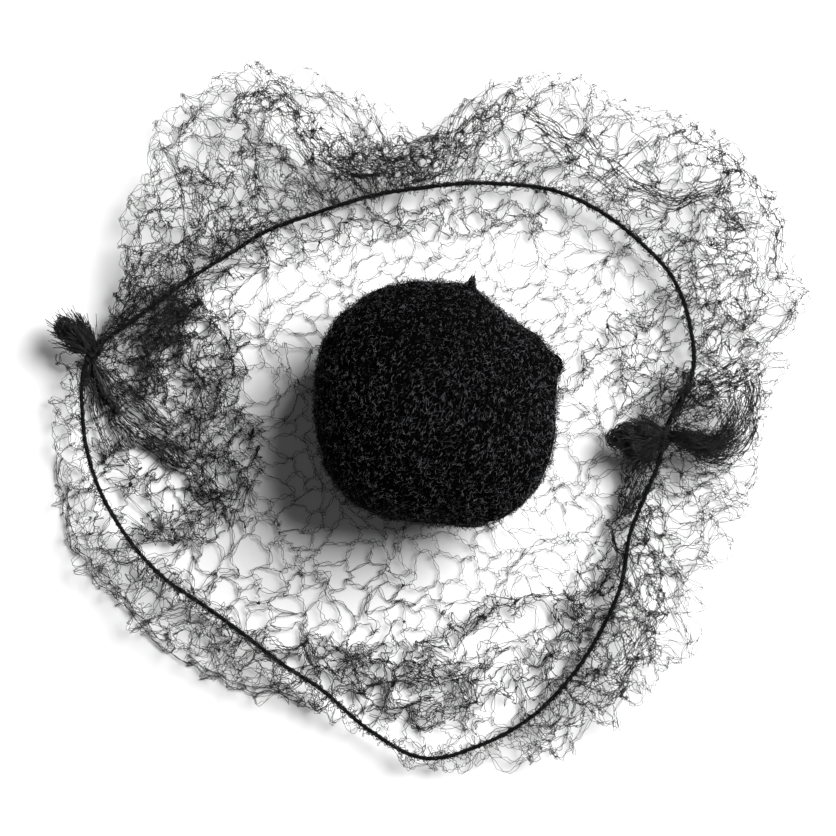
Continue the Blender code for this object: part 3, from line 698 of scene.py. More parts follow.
@dataclass(frozen=True)
class Link:
    """How the two crinkled filaments of a cell's side lie: crossing each other, bowed, kinked."""

    filament: float = 0.083 * MM
    wide: float = 0.42 * MM
    crossings: int = 2
    steps: int = 6
    bow: float = 0.5 * MM
    kink: float = 0.22 * MM
    crinkle: float = 0.11 * MM
    widths: tuple[float, float] = (0.4, 1.5)
    slip: float = 0.25
    thickness: float = 0.4

    def along(self) -> np.ndarray:
        """Even steps from 0 to 1 along a side."""
        return np.linspace(0.0, 1.0, self.steps + 1)[None, :, None]

    def middles(self, sides: np.ndarray, draw: np.random.Generator) -> np.ndarray:
        """Middle lines of flat sides.

        Args:
            sides: Both ends of every side.
            draw: The source of unevenness.

        Returns:
            Flat points along every side.
        """
        t = self.along()
        run = unit(sides[:, 1] - sides[:, 0])
        across = np.stack((-run[:, 1], run[:, 0]), axis=-1)[:, None, :]
        bow = draw.normal(0.0, self.bow, (len(sides), 1, 1))
        kink = draw.normal(0.0, self.kink, (len(sides), self.steps + 1, 1))
        return sides[:, :1] * (1 - t) + sides[:, 1:] * t + across * np.sin(math.pi * t) * (bow + kink)

    def pairs(self, middles: np.ndarray, draw: np.random.Generator) -> np.ndarray:
        """The two filaments that cross along each side.

        Args:
            middles: Middle line of every side, in place.
            draw: The source of unevenness.

        Returns:
            Paths, as filaments by points by three.
        """
        count = len(middles)
        t = self.along()
        run = unit(np.gradient(middles, axis=1))
        across = unit(np.cross(run, UP) + 1e-6)
        over = np.cross(across, run)
        wide = self.wide * draw.uniform(*self.widths, (count, 1, 1))
        start = draw.uniform(-self.slip, self.slip, (count, 1, 1))
        beat = np.sin(math.pi * self.crossings * t + start)
        lift = self.thickness * np.cos(math.pi * self.crossings * t + start)
        uneven = draw.normal(0.0, self.crinkle, (2, count, self.steps + 1, 1))
        return np.concatenate([
            middles + sign * wide * (beat * across + lift * over) + uneven[which] * across
            for which, sign in enumerate((1.0, -1.0))
        ])


@dataclass
class NetLay:
    """How the flat net lies: out along the floor, up round the belly and back to the rim."""

    crest: float = 13.0 * MM
    rim_height: float = 8.5 * MM
    turn: float = 8.5 * MM
    low: float = 0.35 * MM
    side_rise: float = 0.4
    # The wall is drawn thin: how much of its height counts, how wide and how far out it is.
    wall_draw: float = 0.3
    wall_share: float = 0.1
    wall_beyond: float = 0.03
    back_fade: float = 0.22
    # Handles of the curves that round the toe, the shoulder and the crown, as shares.
    toe: tuple[float, float] = (0.35, 0.5)
    toe_points: int = 12
    shoulder: float = 1.05
    crown: tuple[float, float] = (0.55, 1.15)
    back_points: int = 28
    # Small lobes that make the outline uneven, and the least reach of the belly past the rim.
    lobes: range = range(9, 44, 2)
    lobe: float = 0.35 * MM
    least_belly: float = 1.2 * MM
    # Rows and columns of the tables.
    directions: int = 720
    steps: int = 240
    over_steps: int = 40
    # The knots' directions in degrees, and how they draw the hem together.
    left_knot: float = 168.4
    right_knot: float = 355.6
    gather_spread: float = 24.0
    gather_pull: float = 0.42
    seed: int = 4
    offset: np.ndarray = field(default_factory=lambda: np.zeros(3))

    def __post_init__(self) -> None:
        """Lays out the net's sections and finds where the plan's middle is in the frame."""
        self._sections()
        low, high = (np.array(corner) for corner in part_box("rim_elastic"))
        rim = self.rim_line(np.arange(0.0, 360.0, 1.0))
        middle = (rim.min(axis=0) + rim.max(axis=0)) / 2
        self.offset = (low + high) / 2 - middle
        self.offset[2] = 0.0

    def _sections(self) -> None:
        """Fills the tables of reach and height by direction and share of the flat net."""
        at = np.arange(self.directions) * 360.0 / self.directions
        out = round_values([reach.outline for reach in REACHES], at) * MM
        uneven = np.random.default_rng(self.seed)
        for lobes in self.lobes:
            start = uneven.uniform(0, 2 * math.pi)
            out += self.lobe * np.sin(np.radians(at) * lobes + start) * uneven.uniform(0.4, 1.0)
        hem = round_values([reach.rim for reach in REACHES], at) * MM
        out = np.maximum(out, hem + self.least_belly)
        fullness = round_values([loft.crest for loft in LOFTS], at)
        crest, turn = self.crest * fullness, self.turn * fullness
        rise = self.rim_height * round_values([loft.rise for loft in LOFTS], at)
        side = self.low + self.side_rise * (crest - self.low)
        zero = np.zeros_like(out)
        low = zero + self.low
        toe = self._bezier((out - turn, low), (out - self.toe[0] * turn, low),
                           (out, self.toe[1] * side), (out, side), self.toe_points)
        back = self._bezier((out, side), (out, self.shoulder * crest),
                            (hem + self.crown[0] * (out - hem), self.crown[1] * crest), (hem, rise),
                            self.back_points)
        flat = [np.stack(pair, -1)[:, None] for pair in ((zero, low), (out - turn, low))]
        points = np.concatenate((*flat, toe, back), 1)
        shares = np.linspace(0.0, 1.0, self.over_steps + 1)
        self.outline, self.hem = out, hem
        self.over = np.array([
            np.interp(hem[row] + shares * (out[row] - hem[row]), back[row, ::-1, 0], back[row, ::-1, 1])
            for row in range(len(at))
        ])
        along = np.linalg.norm(np.diff(points, axis=1) * [1.0, self.wall_draw], axis=-1)
        along = np.concatenate((np.zeros((len(at), 1)), np.cumsum(along, axis=1)), axis=1)
        self.length = along[:, -1]
        self.turn_share = along[:, self.toe_points + 1] / self.length
        shares = np.linspace(0.0, 1.0, self.steps + 1)
        self.reach = np.empty((len(at), self.steps + 1))
        self.height = np.empty_like(self.reach)
        for row in range(len(at)):
            stops = shares * self.length[row]
            self.reach[row] = np.interp(stops, along[row], points[row, :, 0])
            self.height[row] = np.interp(stops, along[row], points[row, :, 1])

    @staticmethod
    def _bezier(a: Pair, b: Pair, c: Pair, d: Pair, count: int) -> np.ndarray:
        """Points of one cubic curve for every direction, without the first."""
        t = np.linspace(0.0, 1.0, count + 1)[1:]
        a, b, c, d = (np.stack(pair, -1)[:, None, :] for pair in (a, b, c, d))
        t = t[None, :, None]
        return (1 - t) ** 3 * a + 3 * (1 - t) ** 2 * t * b + 3 * (1 - t) * t**2 * c + t**3 * d

    def rim_line(self, at: np.ndarray) -> np.ndarray:
        """Points of the elastic's middle line at directions in degrees."""
        reach = round_values([reach.rim for reach in REACHES], at) * MM
        rise = self.rim_height * round_values([loft.rise for loft in LOFTS], at)
        angle = np.radians(at)
        line = np.stack((reach * np.cos(angle), reach * np.sin(angle), rise), axis=-1)
        return line + self.offset

    def _row(self, points: np.ndarray) -> np.ndarray:
        """The tables' rows for the directions of points."""
        return np.rint(bearing(points) % 360.0 / 360.0 * self.directions).astype(int) % self.directions

    def back_height(self, plan: np.ndarray) -> np.ndarray:
        """Height of the layer that turns back, over points of the plan."""
        row = self._row(plan)
        reach = np.linalg.norm(plan, axis=-1)
        share = (reach - self.hem[row]) / (self.outline[row] - self.hem[row])
        column = np.rint(np.clip(share, 0.0, 1.0) * self.over_steps).astype(int)
        return self.over[row, column]

    def walled(self, flat: np.ndarray) -> np.ndarray:
        """How near flat points are to the belly's outer wall, 0 to 1."""
        row = self._row(flat)
        share = np.linalg.norm(flat, axis=-1) / self.length[row]
        return np.exp(-(((share - self.turn_share[row] - self.wall_beyond) / self.wall_share) ** 2))

    def flat_length(self, at: np.ndarray) -> np.ndarray:
        """Length of the flat net from its middle to its hem at directions in degrees."""
        return np.interp(at % 360.0, np.arange(self.directions + 1) * 360.0 / self.directions,
                         np.append(self.length, self.length[0]))

    def share(self, flat: np.ndarray) -> np.ndarray:
        """How far out flat points are: 0 in the middle, 1 at the hem."""
        return np.linalg.norm(flat, axis=-1) / self.flat_length(bearing(flat))

    def place(self, flat: np.ndarray) -> tuple[np.ndarray, np.ndarray]:
        """Where flat points lie in the plan.

        Args:
            flat: Points of the flat net.

        Returns:
            Their places in the plan, and how much each belongs to the layer that turns back.
        """
        at = bearing(flat)
        share = np.clip(self.share(flat), 0.0, 1.0)
        for knot in (self.left_knot, self.right_knot):
            away = apart(at, knot)
            at = at - self.gather_pull * share**4 * np.exp(-((away / self.gather_spread) ** 2)) * away
        row = (at % 360.0) / 360.0 * self.directions
        row_at = np.floor(row).astype(int)
        row_t = row - row_at
        column = np.clip(share * self.steps, 0, self.steps - 1e-6)
        column_at = np.floor(column).astype(int)
        column_t = column - column_at
        here, there = row_at % self.directions, (row_at + 1) % self.directions

        def blend(table: np.ndarray) -> np.ndarray:
            """The table's value between its rows and columns."""
            near = table[here, column_at] * (1 - column_t) + table[here, column_at + 1] * column_t
            far = table[there, column_at] * (1 - column_t) + table[there, column_at + 1] * column_t
            return near * (1 - row_t) + far * row_t

        reach, height = blend(self.reach), blend(self.height)
        turned = self.turn_share[here] * (1 - row_t) + self.turn_share[there] * row_t
        back = smooth_step(0.0, 1.0, (share - turned) / (self.back_fade * (1.001 - turned)))
        angle = np.radians(at)
        placed = np.stack((reach * np.cos(angle), reach * np.sin(angle), height), axis=-1)
        return placed, back


@dataclass
class Crumple:
    """Wrinkles of the net: bunched fold lines, soft waves and stray shifts, in millimetres."""

    fold_lengths: tuple[float, ...] = (44.0, 25.0, 15.0)
    fold_widths: tuple[float, ...] = (4.2, 2.8, 2.2)
    fold_pulls: tuple[float, ...] = (0.55, 0.55, 0.6)
    fold_heights: tuple[float, ...] = (2.6, 1.6, 0.8)
    drift_length: float = 17.0
    drift: float = 1.5
    stray_length: float = 7.0
    stray: float = 0.75
    swell_length: float = 20.0
    swell: float = 1.3
    ripple_length: float = 7.0
    ripple: float = 0.45
    seed: int = 20
    soft_seed: int = 31

    def __post_init__(self) -> None:
        """Draws the waves."""
        self.folds = [Waves(self.seed + n, length * MM) for n, length in enumerate(self.fold_lengths)]
        lengths = (self.drift_length, self.drift_length, self.swell_length, self.ripple_length,
                   self.stray_length, self.stray_length)
        soft = [Waves(self.soft_seed + n, length * MM) for n, length in enumerate(lengths)]
        self.drifts, self.swells, self.ripples, self.strays = soft[:2], soft[2], soft[3], soft[4:]

    def flat_shift(self, flat: np.ndarray, strength: np.ndarray) -> tuple[np.ndarray, np.ndarray]:
        """Moves flat points towards fold lines.

        Args:
            flat: Points of the flat net.
            strength: How crumpled the net is at each point.

        Returns:
            The moved points, and the height that the folds add.
        """
        moved = flat.copy()
        raised = np.zeros(flat.shape[:-1])
        facts = zip(self.folds, self.fold_widths, self.fold_pulls, self.fold_heights)
        for waves, width, pull, height in facts:
            value = waves.value(flat)
            slope = waves.slope(flat)
            steep = np.maximum(np.linalg.norm(slope, axis=-1), 1e-9)
            away = value / steep
            near = np.exp(-((away / (width * MM)) ** 2)) * strength
            moved -= (pull * away * near / steep)[..., None] * slope
            raised += height * MM * near
        for axis, waves in enumerate(self.drifts):
            moved[..., axis] += self.drift * MM * waves.value(flat) * strength
        return moved, raised

    def swollen(self, flat: np.ndarray) -> np.ndarray:
        """How far flat points swell up or down."""
        return self.swells.value(flat) * self.swell * MM + self.ripples.value(flat) * self.ripple * MM

    def ragged(self, flat: np.ndarray) -> np.ndarray:
        """How far flat points stray in the plan, as points by two."""
        return np.stack([waves.value(flat) for waves in self.strays], axis=-1) * self.stray * MM


@dataclass
class Net:
    """The net, as a honeycomb whose sides are pairs of crossing filaments."""

    lay: NetLay
    cell: float = 5.1 * MM
    jitter: float = 0.8 * MM
    wall_thinned: float = 0.2
    floor_thinned: float = 0.14
    # Where on the way out a change sets in, as shares, and how much holds before it.
    floor_ends: tuple[float, float] = (0.35, 0.6)
    held: tuple[float, float] = (0.94, 1.0)
    crumpled: tuple[float, float] = (0.15, 0.62)
    least_crumpled: float = 0.55
    raised: tuple[float, float] = (0.12, 0.4)
    floor_raised: float = 0.35
    floor_piece: float = 0.42
    seed: int = 3
    link: Link = Link()
    crumple: Crumple = field(default_factory=Crumple)

    def sides(self) -> np.ndarray:
        """Both ends of every side of the flat honeycomb, as sides by two by two."""
        reach = float(self.lay.length.max())
        sides = honeycomb(reach, reach, self.cell, self.jitter, np.random.default_rng(self.seed))
        return sides[(self.lay.share(sides) < 1.0).any(axis=1)]

    def middles(self, sides: np.ndarray, draw: np.random.Generator) -> tuple[np.ndarray, np.ndarray]:
        """Middle line of every side once the net lies crumpled.

        Args:
            sides: The flat sides.
            draw: The source of unevenness.

        Returns:
            Points along every side, and how much each side belongs to the turned back layer.
        """
        flat = self.link.middles(sides, draw)
        share = self.lay.share(flat)
        free = 1.0 - smooth_step(*self.held, share)
        least = self.least_crumpled
        strength = (smooth_step(*self.crumpled, share) * (1.0 - least) + least) * free
        moved, raised = self.crumple.flat_shift(flat, strength)
        placed, back = self.lay.place(moved)
        swell, low = self.crumple.swollen(flat), self.floor_raised
        lift = raised * (low + (1.0 - low) * back) + np.abs(swell) * low * (1.0 - back) + swell * back
        placed[..., 2] += lift * free * smooth_step(*self.raised, share)
        ragged = free * smooth_step(*self.floor_ends, share)
        placed[..., :2] += self.crumple.ragged(flat) * ragged[..., None]
        placed[..., 2] = np.maximum(placed[..., 2], self.lay.low)
        return placed + self.lay.offset, back.mean(axis=1)

    def build(self, material: bpy.types.Material) -> list[bpy.types.Object]:
        """Builds the net in pieces by layer and place.

        Args:
            material: The filament's finish.

        Returns:
            The net's pieces.
        """
        draw = np.random.default_rng(self.seed + 1)
        sides = self.sides()
        middles, back = self.middles(sides, draw)
        share = self.lay.share(sides.mean(axis=1))
        radius = self.link.filament * (1.0 - self.wall_thinned * self.lay.walled(sides.mean(axis=1)))
        radius *= 1.0 - self.floor_thinned * (1.0 - smooth_step(*self.floor_ends, share))
        turned = back > 0.5
        floor = share < self.floor_piece
        left = middles[:, 0, 0] < self.lay.offset[0]
        parts = {
            "net_floor": ~turned & floor,
            "net_belly_left": ~turned & ~floor & left,
            "net_belly_right": ~turned & ~floor & ~left,
            "net_back_left": turned & left,
            "net_back_right": turned & ~left,
        }
        made = []
        for name, chosen in parts.items():
            thick = np.tile(radius[chosen], 2)[:, None]
            piece = tubes(name, self.link.pairs(middles[chosen], draw), thick)
            dress(piece, material, ("net_bag",) if name == "net_floor" else ())
            made.append(piece)
        return made


@dataclass
class Gathers:
    """The bands where the net is drawn together in several thicknesses."""

    lay: NetLay
    cell: float = 4.9 * MM
    jitter: float = 0.8 * MM
    between: float = 0.7 * MM
    sway: float = 0.8 * MM
    taut_sway: float = 0.35 * MM
    sway_length: float = 7.0 * MM
    fray: float = 0.2
    uneven: float = 0.15 * MM
    edge_lift: float = 0.3
    line_points: int = 20
    link: Link = Link(filament=0.102 * MM, wide=0.3 * MM, steps=4, kink=0.36 * MM, crinkle=0.18 * MM)
    taut: Link = Link(filament=0.102 * MM, wide=0.22 * MM, steps=4, bow=0.3 * MM, kink=0.12 * MM,
                      crinkle=0.07 * MM)
    seed: int = 120

    def strand_style(self, gather: Gather) -> tuple[Link, float]:
        """How the sides of a gather's cells lie and how far they sway; less where it is drawn."""
        return (self.link, self.sway) if gather.edge is Edge.LOOSE else (self.taut, self.taut_sway)

    def middles(self, gather: Gather, layer: Layer, draw: np.random.Generator) -> np.ndarray:
        """Middle lines of a gather's sides, in place.

        Args:
            gather: The gather's facts.
            layer: The layer that it lies in.
            draw: The source of unevenness.

        Returns:
            Points along every side.
        """
        rows = np.array(gather.line) * MM
        line = catmull(rows, self.line_points * len(rows))
        along = lengths_along(line[:, :2])
        run = unit(np.gradient(line[:, :2], axis=0))
        half_long = 0.5 * along[-1] / gather.along
        widest = float(rows[:, 2].max())
        half_wide = widest / gather.across
        loosely = gather.edge is Edge.LOOSE
        link, sway = self.strand_style(gather)
        found = []
        for thickness in range(gather.layers):
            sides = honeycomb(half_long, half_wide, self.cell, self.jitter, draw)
            sides = sides + draw.uniform(-0.5, 0.5, 2) * self.cell
            middle = sides.mean(axis=1)
            narrow = np.ones(len(sides))
            if loosely:
                stop = middle[:, 0] * gather.along + 0.5 * along[-1]
                narrow = np.interp(stop, along, line[:, 2]) / widest
            ragged = half_wide * narrow * (1.0 + draw.normal(0.0, self.fray, len(sides)))
            kept = (np.abs(middle[:, 0]) < half_long) & (np.abs(middle[:, 1]) < ragged)
            flat = link.middles(sides[kept], draw)
            stop = np.clip(flat[..., 0] * gather.along + 0.5 * along[-1], 0.0, along[-1])
            off = flat[..., 1] / half_wide
            x, y, wide, run_x, run_y = (
                np.interp(stop, along, column)
                for column in (line[:, 0], line[:, 1], line[:, 2], run[:, 0], run[:, 1])
            )
            if loosely:
                wide = np.full_like(wide, widest)
            plan = np.stack((x - run_y * off * wide, y + run_x * off * wide), axis=-1)
            sways = (Waves(self.seed + 2 * thickness + n, self.sway_length) for n in (0, 1))
            plan += sway * np.stack([waves.value(plan) for waves in sways], axis=-1)
            rounded = self.edge_lift + (1.0 - self.edge_lift) * (1.0 - np.minimum(off**2, 1.0))
            height = gather.lift * MM * rounded
            height = height + thickness * self.between + draw.normal(0.0, self.uneven, height.shape)
            if layer is Layer.BACK:
                height = height + self.lay.back_height(plan)
            placed = np.concatenate((plan, np.maximum(height, self.lay.low)[..., None]), axis=-1)
            found.append(placed + self.lay.offset)
        return np.concatenate(found)

    def build(self, material: bpy.types.Material) -> list[bpy.types.Object]:
        """Builds the gathers of each layer as one piece.

        Args:
            material: The filament's finish.

        Returns:
            The pieces.
        """
        made = []
        for layer, gathers in ((Layer.FLOOR, FLOOR_GATHERS), (Layer.BACK, BACK_GATHERS)):
            draw = np.random.default_rng(self.seed)
            middles = [self.middles(gather, layer, draw) for gather in gathers]
            paths = [self.strand_style(gather)[0].pairs(sides, draw)
                     for gather, sides in zip(gathers, middles)]
            piece = tubes(f"net_gathers_{layer.value}", np.concatenate(paths), self.link.filament)
            dress(piece, material)
            made.append(piece)
        return made


@dataclass
class Rim:
    """The elastic: a covered cord twisted from plies, with the net's hem looped round it."""

    lay: NetLay
    radius: float = 0.6 * MM
    plies: int = 3
    ply_radius: float = 0.34 * MM
    pitch: float = 2.3 * MM
    steps: int = 880
    loops: int = 950
    loop_filament: float = 0.09 * MM
    loop_steps: int = 8
    inward: float = 0.35
    crinkle: float = 0.14 * MM
    fine_points: int = 2881
    ply_swell: float = 0.35
    ply_sides: int = 5
    # The hem's loops: places for each, how they lean, root, stand and slide along the cord.
    slots: int = 4
    lean_spread: float = 0.7
    rooted: float = 0.7
    stand: tuple[float, float] = (2.2, 0.38)
    slide: tuple[float, float] = (0.5, 2.2)
    seed: int = 31

    def line(self, count: int) -> np.ndarray:
        """Evenly spaced points along the closed middle line, the first again at the end."""
        fine = self.lay.rim_line(np.linspace(0.0, 360.0, self.fine_points))
        along = lengths_along(fine)
        stops = np.linspace(0.0, along[-1], count)
        return np.stack([np.interp(stops, along, column) for column in fine.T], axis=-1)

    def build_cord(self, material: bpy.types.Material) -> bpy.types.Object:
        """Builds the twisted cord.

        Args:
            material: The elastic's finish.

        Returns:
            The cord.
        """
        line = self.line(self.steps + 1)
        across, over = frame_along(unit(np.gradient(line, axis=0)))
        turns = round(float(lengths_along(line)[-1]) / self.pitch)
        phase = np.linspace(0.0, 2 * math.pi * turns, self.steps + 1)[:, None]
        draw = np.random.default_rng(self.seed)
        paths = []
        for ply in range(self.plies):
            at = phase + 2 * math.pi * ply / self.plies
            swell = 1.0 + self.ply_swell * np.sin(phase / turns * draw.integers(130, 290) + ply)
            off = (self.radius - self.ply_radius) * swell
            paths.append(line + off * (np.cos(at) * across + np.sin(at) * over))
        cord = tubes("rim_cord", np.array(paths), self.ply_radius, self.ply_sides)
        dress(cord, material, ("rim_elastic",))
        return cord

    def build_loops(self, material: bpy.types.Material) -> bpy.types.Object:
        """Builds the loops of the net's hem that are caught round the cord.

        Args:
            material: The filament's finish.

        Returns:
            The loops.
        """
        line = self.line(self.loops * self.slots + 1)
        across, over = frame_along(unit(np.gradient(line, axis=0)))
        draw = np.random.default_rng(self.seed + 1)
        t = np.linspace(0.0, 1.0, self.loop_steps)
        paths = []
        for loop in range(self.loops):
            at = self.slots * loop + draw.integers(0, self.slots)
            lean = draw.normal(0.0, self.lean_spread) + (math.pi if draw.random() < self.inward else 0.0)
            stand = self.radius * self.rooted + draw.gamma(*self.stand) * MM * np.sin(math.pi * t)
            slide = (draw.uniform(*self.slide) * (t - 0.5) + 0.5 * np.sin(2 * math.pi * t)) * MM
            run = unit(line[(at + 1) % len(line)] - line[at])
            outward = math.cos(lean) * across[at] + math.sin(lean) * over[at]
            curl = line[at] + stand[:, None] * outward + slide[:, None] * run
            paths.append(curl + draw.normal(0.0, self.crinkle, curl.shape))
        piece = tubes("rim_loops", np.array(paths), self.loop_filament)
        dress(piece, material)
        return piece


@dataclass
class Tuft:
    """A knot on the elastic with its locks of frayed filament."""

    lay: NetLay
    name: str
    knot: float
    locks: tuple[Lock, ...]
    lumps: tuple[Lump, ...]
    strands: int = 85
    lump_strands: int = 60
    steps: int = 9
    filament: float = 0.088 * MM
    spread: float = 2.1 * MM
    curl: float = 0.45 * MM
    looped: float = 0.5
    # Filaments that turn back and those that end: reach and stray, as shares of the lock.
    loop_reach: tuple[float, float] = (0.25, 1.0)
    end_reach: tuple[float, float] = (0.5, 1.08)
    loop_stray: float = 0.9
    end_stray: float = 0.4
    narrow: float = 0.35
    # Tangled balls: reach, unevenness and flatness as shares, and each arc's turn in radians.
    ball: tuple[float, float] = (0.45, 1.05)
    ball_uneven: float = 0.05
    ball_flat: float = 0.8
    ball_turn: float = 3.6
    # Turns of filament round the elastic.
    wrap_strands: int = 110
    wrap_spread: float = 1.5 * MM
    wrap_bulge: float = 3.2 * MM
    wrap_reach: tuple[float, float] = (0.7 * MM, 2.2 * MM)
    wrap_skew: float = 0.9 * MM
    lowest: float = 0.4 * MM
    seed: int = 50

    def root(self) -> np.ndarray:
        """The knot's middle."""
        return self.lay.rim_line(np.array([self.knot]))[0]

    def lock_line(self, lock: Lock) -> np.ndarray:
        """Middle line of a lock.

        Args:
            lock: The lock's facts.

        Returns:
            Its points from root to tip.
        """
        points = [self.root()]
        for step in range(1, self.steps):
            heading = math.radians(lock.bearing + lock.curl * step / self.steps)
            forward = np.array((math.cos(heading), math.sin(heading), lock.climb))
            points.append(points[-1] + forward * lock.reach * MM / self.steps)
        return np.array(points)

    def lock_strands(self, lock: Lock, draw: np.random.Generator) -> np.ndarray:
        """The filaments of one lock; some of them turn back as loops.

        Args:
            lock: The lock's facts.
            draw: The source of unevenness.

        Returns:
            Paths of the filaments.
        """
        line = self.lock_line(lock)
        paths = []
        for strand in range(self.strands):
            looped = strand < self.looped * self.strands
            reach = draw.uniform(*(self.loop_reach if looped else self.end_reach))
            t = np.linspace(0.0, 1.0, self.steps)
            along = np.sin(math.pi * t) * reach if looped else t * reach
            place = along * (self.steps - 1)
            base = np.stack([np.interp(place, np.arange(self.steps), column) for column in line.T], -1)
            base += (line[-1] - line[-2]) * np.maximum(place - (self.steps - 1), 0.0)[:, None]
            side = draw.normal(0.0, 1.0, 3)
            other = draw.normal(0.0, 1.0, 3)
            fan = (self.narrow + (1.0 - self.narrow) * along)[:, None]
            curl = np.sin(t * draw.uniform(5, 13) + draw.uniform(0, 6))[:, None]
            stray = self.loop_stray if looped else self.end_stray
            fan_out = side * fan + other * t[:, None] * fan * stray
            base += 0.5 * self.spread * fan_out + self.curl * curl * np.roll(side, 1) * fan
            paths.append(base)
        return np.array(paths)

    def tangle(self, lump: Lump, draw: np.random.Generator) -> np.ndarray:
        """Arcs of filament wound about a lump's middle.

        Args:
            lump: The lump's facts.
            draw: The source of unevenness.

        Returns:
            Paths of the filaments.
        """
        count = self.lump_strands
        middle = self.lay.offset + np.array((lump.x, lump.y, 0.0)) * MM
        middle[2] = self.root()[2] + lump.lift * MM
        first = unit(draw.normal(0.0, 1.0, (count, 1, 3)))
        other = unit(np.cross(first, draw.normal(0.0, 1.0, (count, 1, 3))))
        arc = np.linspace(0.0, self.ball_turn, self.steps)[None, :, None]
        turn = draw.uniform(0.0, 6.3, (count, 1, 1)) + arc
        reach = lump.radius * MM * draw.uniform(*self.ball, (count, 1, 1))
        reach = reach * (1.0 + draw.normal(0.0, self.ball_uneven, (count, self.steps, 1)))
        ring = np.cos(turn) * first + np.sin(turn) * other
        return middle + reach * ring * [1.0, 1.0, self.ball_flat]

    def wraps(self, draw: np.random.Generator) -> np.ndarray:
        """Turns of filament wound round the elastic at the knot."""
        heading = self.lay.rim_line(np.array([self.knot - 2.0, self.knot + 2.0]))
        run = unit(heading[1] - heading[0])
        across, over = frame_along(run)
        paths = []
        for _ in range(self.wrap_strands):
            along = draw.normal(0.0, self.wrap_spread)
            wide = draw.uniform(*self.wrap_reach) * math.exp(-((along / self.wrap_bulge) ** 2))
            turn = draw.uniform(0, 6.3) + np.linspace(0.0, 2.1 * math.pi, self.steps)
            skew = draw.normal(0.0, self.wrap_skew) * np.sin(turn + draw.uniform(0, 6))
            ring = np.cos(turn)[:, None] * across + np.sin(turn)[:, None] * over * 1.05
            paths.append(self.root() + run * (along + skew[:, None]) + wide * ring)
        return np.array(paths)

    def build(self, material: bpy.types.Material, node: str,
              more: Sequence[np.ndarray] = ()) -> bpy.types.Object:
        """Builds the tuft.

        Args:
            material: The filament's finish.
            node: The solid that it stands for.
            more: Further strands of the same piece.

        Returns:
            The tuft.
        """
        draw = np.random.default_rng(self.seed)
        paths = [self.lock_strands(lock, draw) for lock in self.locks]
        paths.extend(self.tangle(lump, draw) for lump in self.lumps)
        paths.append(self.wraps(draw))
        paths.extend(more)
        joined = np.concatenate(paths)
        joined[..., 2] = np.maximum(joined[..., 2], self.lowest)
        piece = tubes(self.name, joined, self.filament)
        dress(piece, material, (node,))
        return piece


@dataclass
class Rope:
    """The bunched net that leaves the right knot and lies over the belly."""

    lay: NetLay
    knot: float
    strands: int = 290
    steps: int = 9
    points: int = 60
    # Where filaments start, as a share and a power of it, and how far they run.
    starts: tuple[float, float] = (0.75, 2.2)
    reach: tuple[float, float] = (0.25, 0.6)
    # How they lie off the middle line, as shares of the half width.
    side_spread: float = 0.5
    side_wave: float = 0.45
    side_stray: float = 0.06
    up_spread: float = 0.35
    up_wave: float = 0.35
    up_pace: float = 0.8
    seed: int = 71

    def strands_along(self) -> np.ndarray:
        """Filaments along the bunch, each wandering in and out of it."""
        draw = np.random.default_rng(self.seed)
        root = self.lay.rim_line(np.array([self.knot]))[0]
        steps = np.array([(step.x * MM, step.y * MM, root[2] + step.lift * MM) for step in ROPE])
        steps[:, :2] += self.lay.offset[:2]
        spread = np.interp(np.linspace(0, len(ROPE) - 1, self.points), np.arange(len(ROPE)),
                           [step.spread * MM for step in ROPE])
        line = catmull(steps, self.points)
        across, _ = frame_along(unit(np.gradient(line, axis=0)))
        paths = []
        for _ in range(self.strands):
            first = draw.uniform(0.0, self.starts[0]) ** self.starts[1]
            last = first + draw.uniform(*self.reach)
            place = np.clip(np.linspace(first, last, self.steps), 0.0, 1.0) * (self.points - 1)
            at = np.minimum(place.astype(int), self.points - 2)
            t = (place - at)[:, None]
            base = line[at] * (1 - t) + line[at + 1] * t
            wave = draw.uniform(0, 6)
            beat = np.linspace(wave, wave + draw.uniform(4, 11), self.steps)[:, None]
            side = draw.normal(0.0, self.side_spread) + self.side_wave * np.sin(beat)
            side = side + draw.normal(0.0, self.side_stray, (self.steps, 1))
            up = draw.normal(0.0, self.up_spread) + self.up_wave * np.cos(beat * self.up_pace)
            paths.append(base + spread[at][:, None] * (side * across[at] + up * np.array(UP)))
        return np.array(paths)


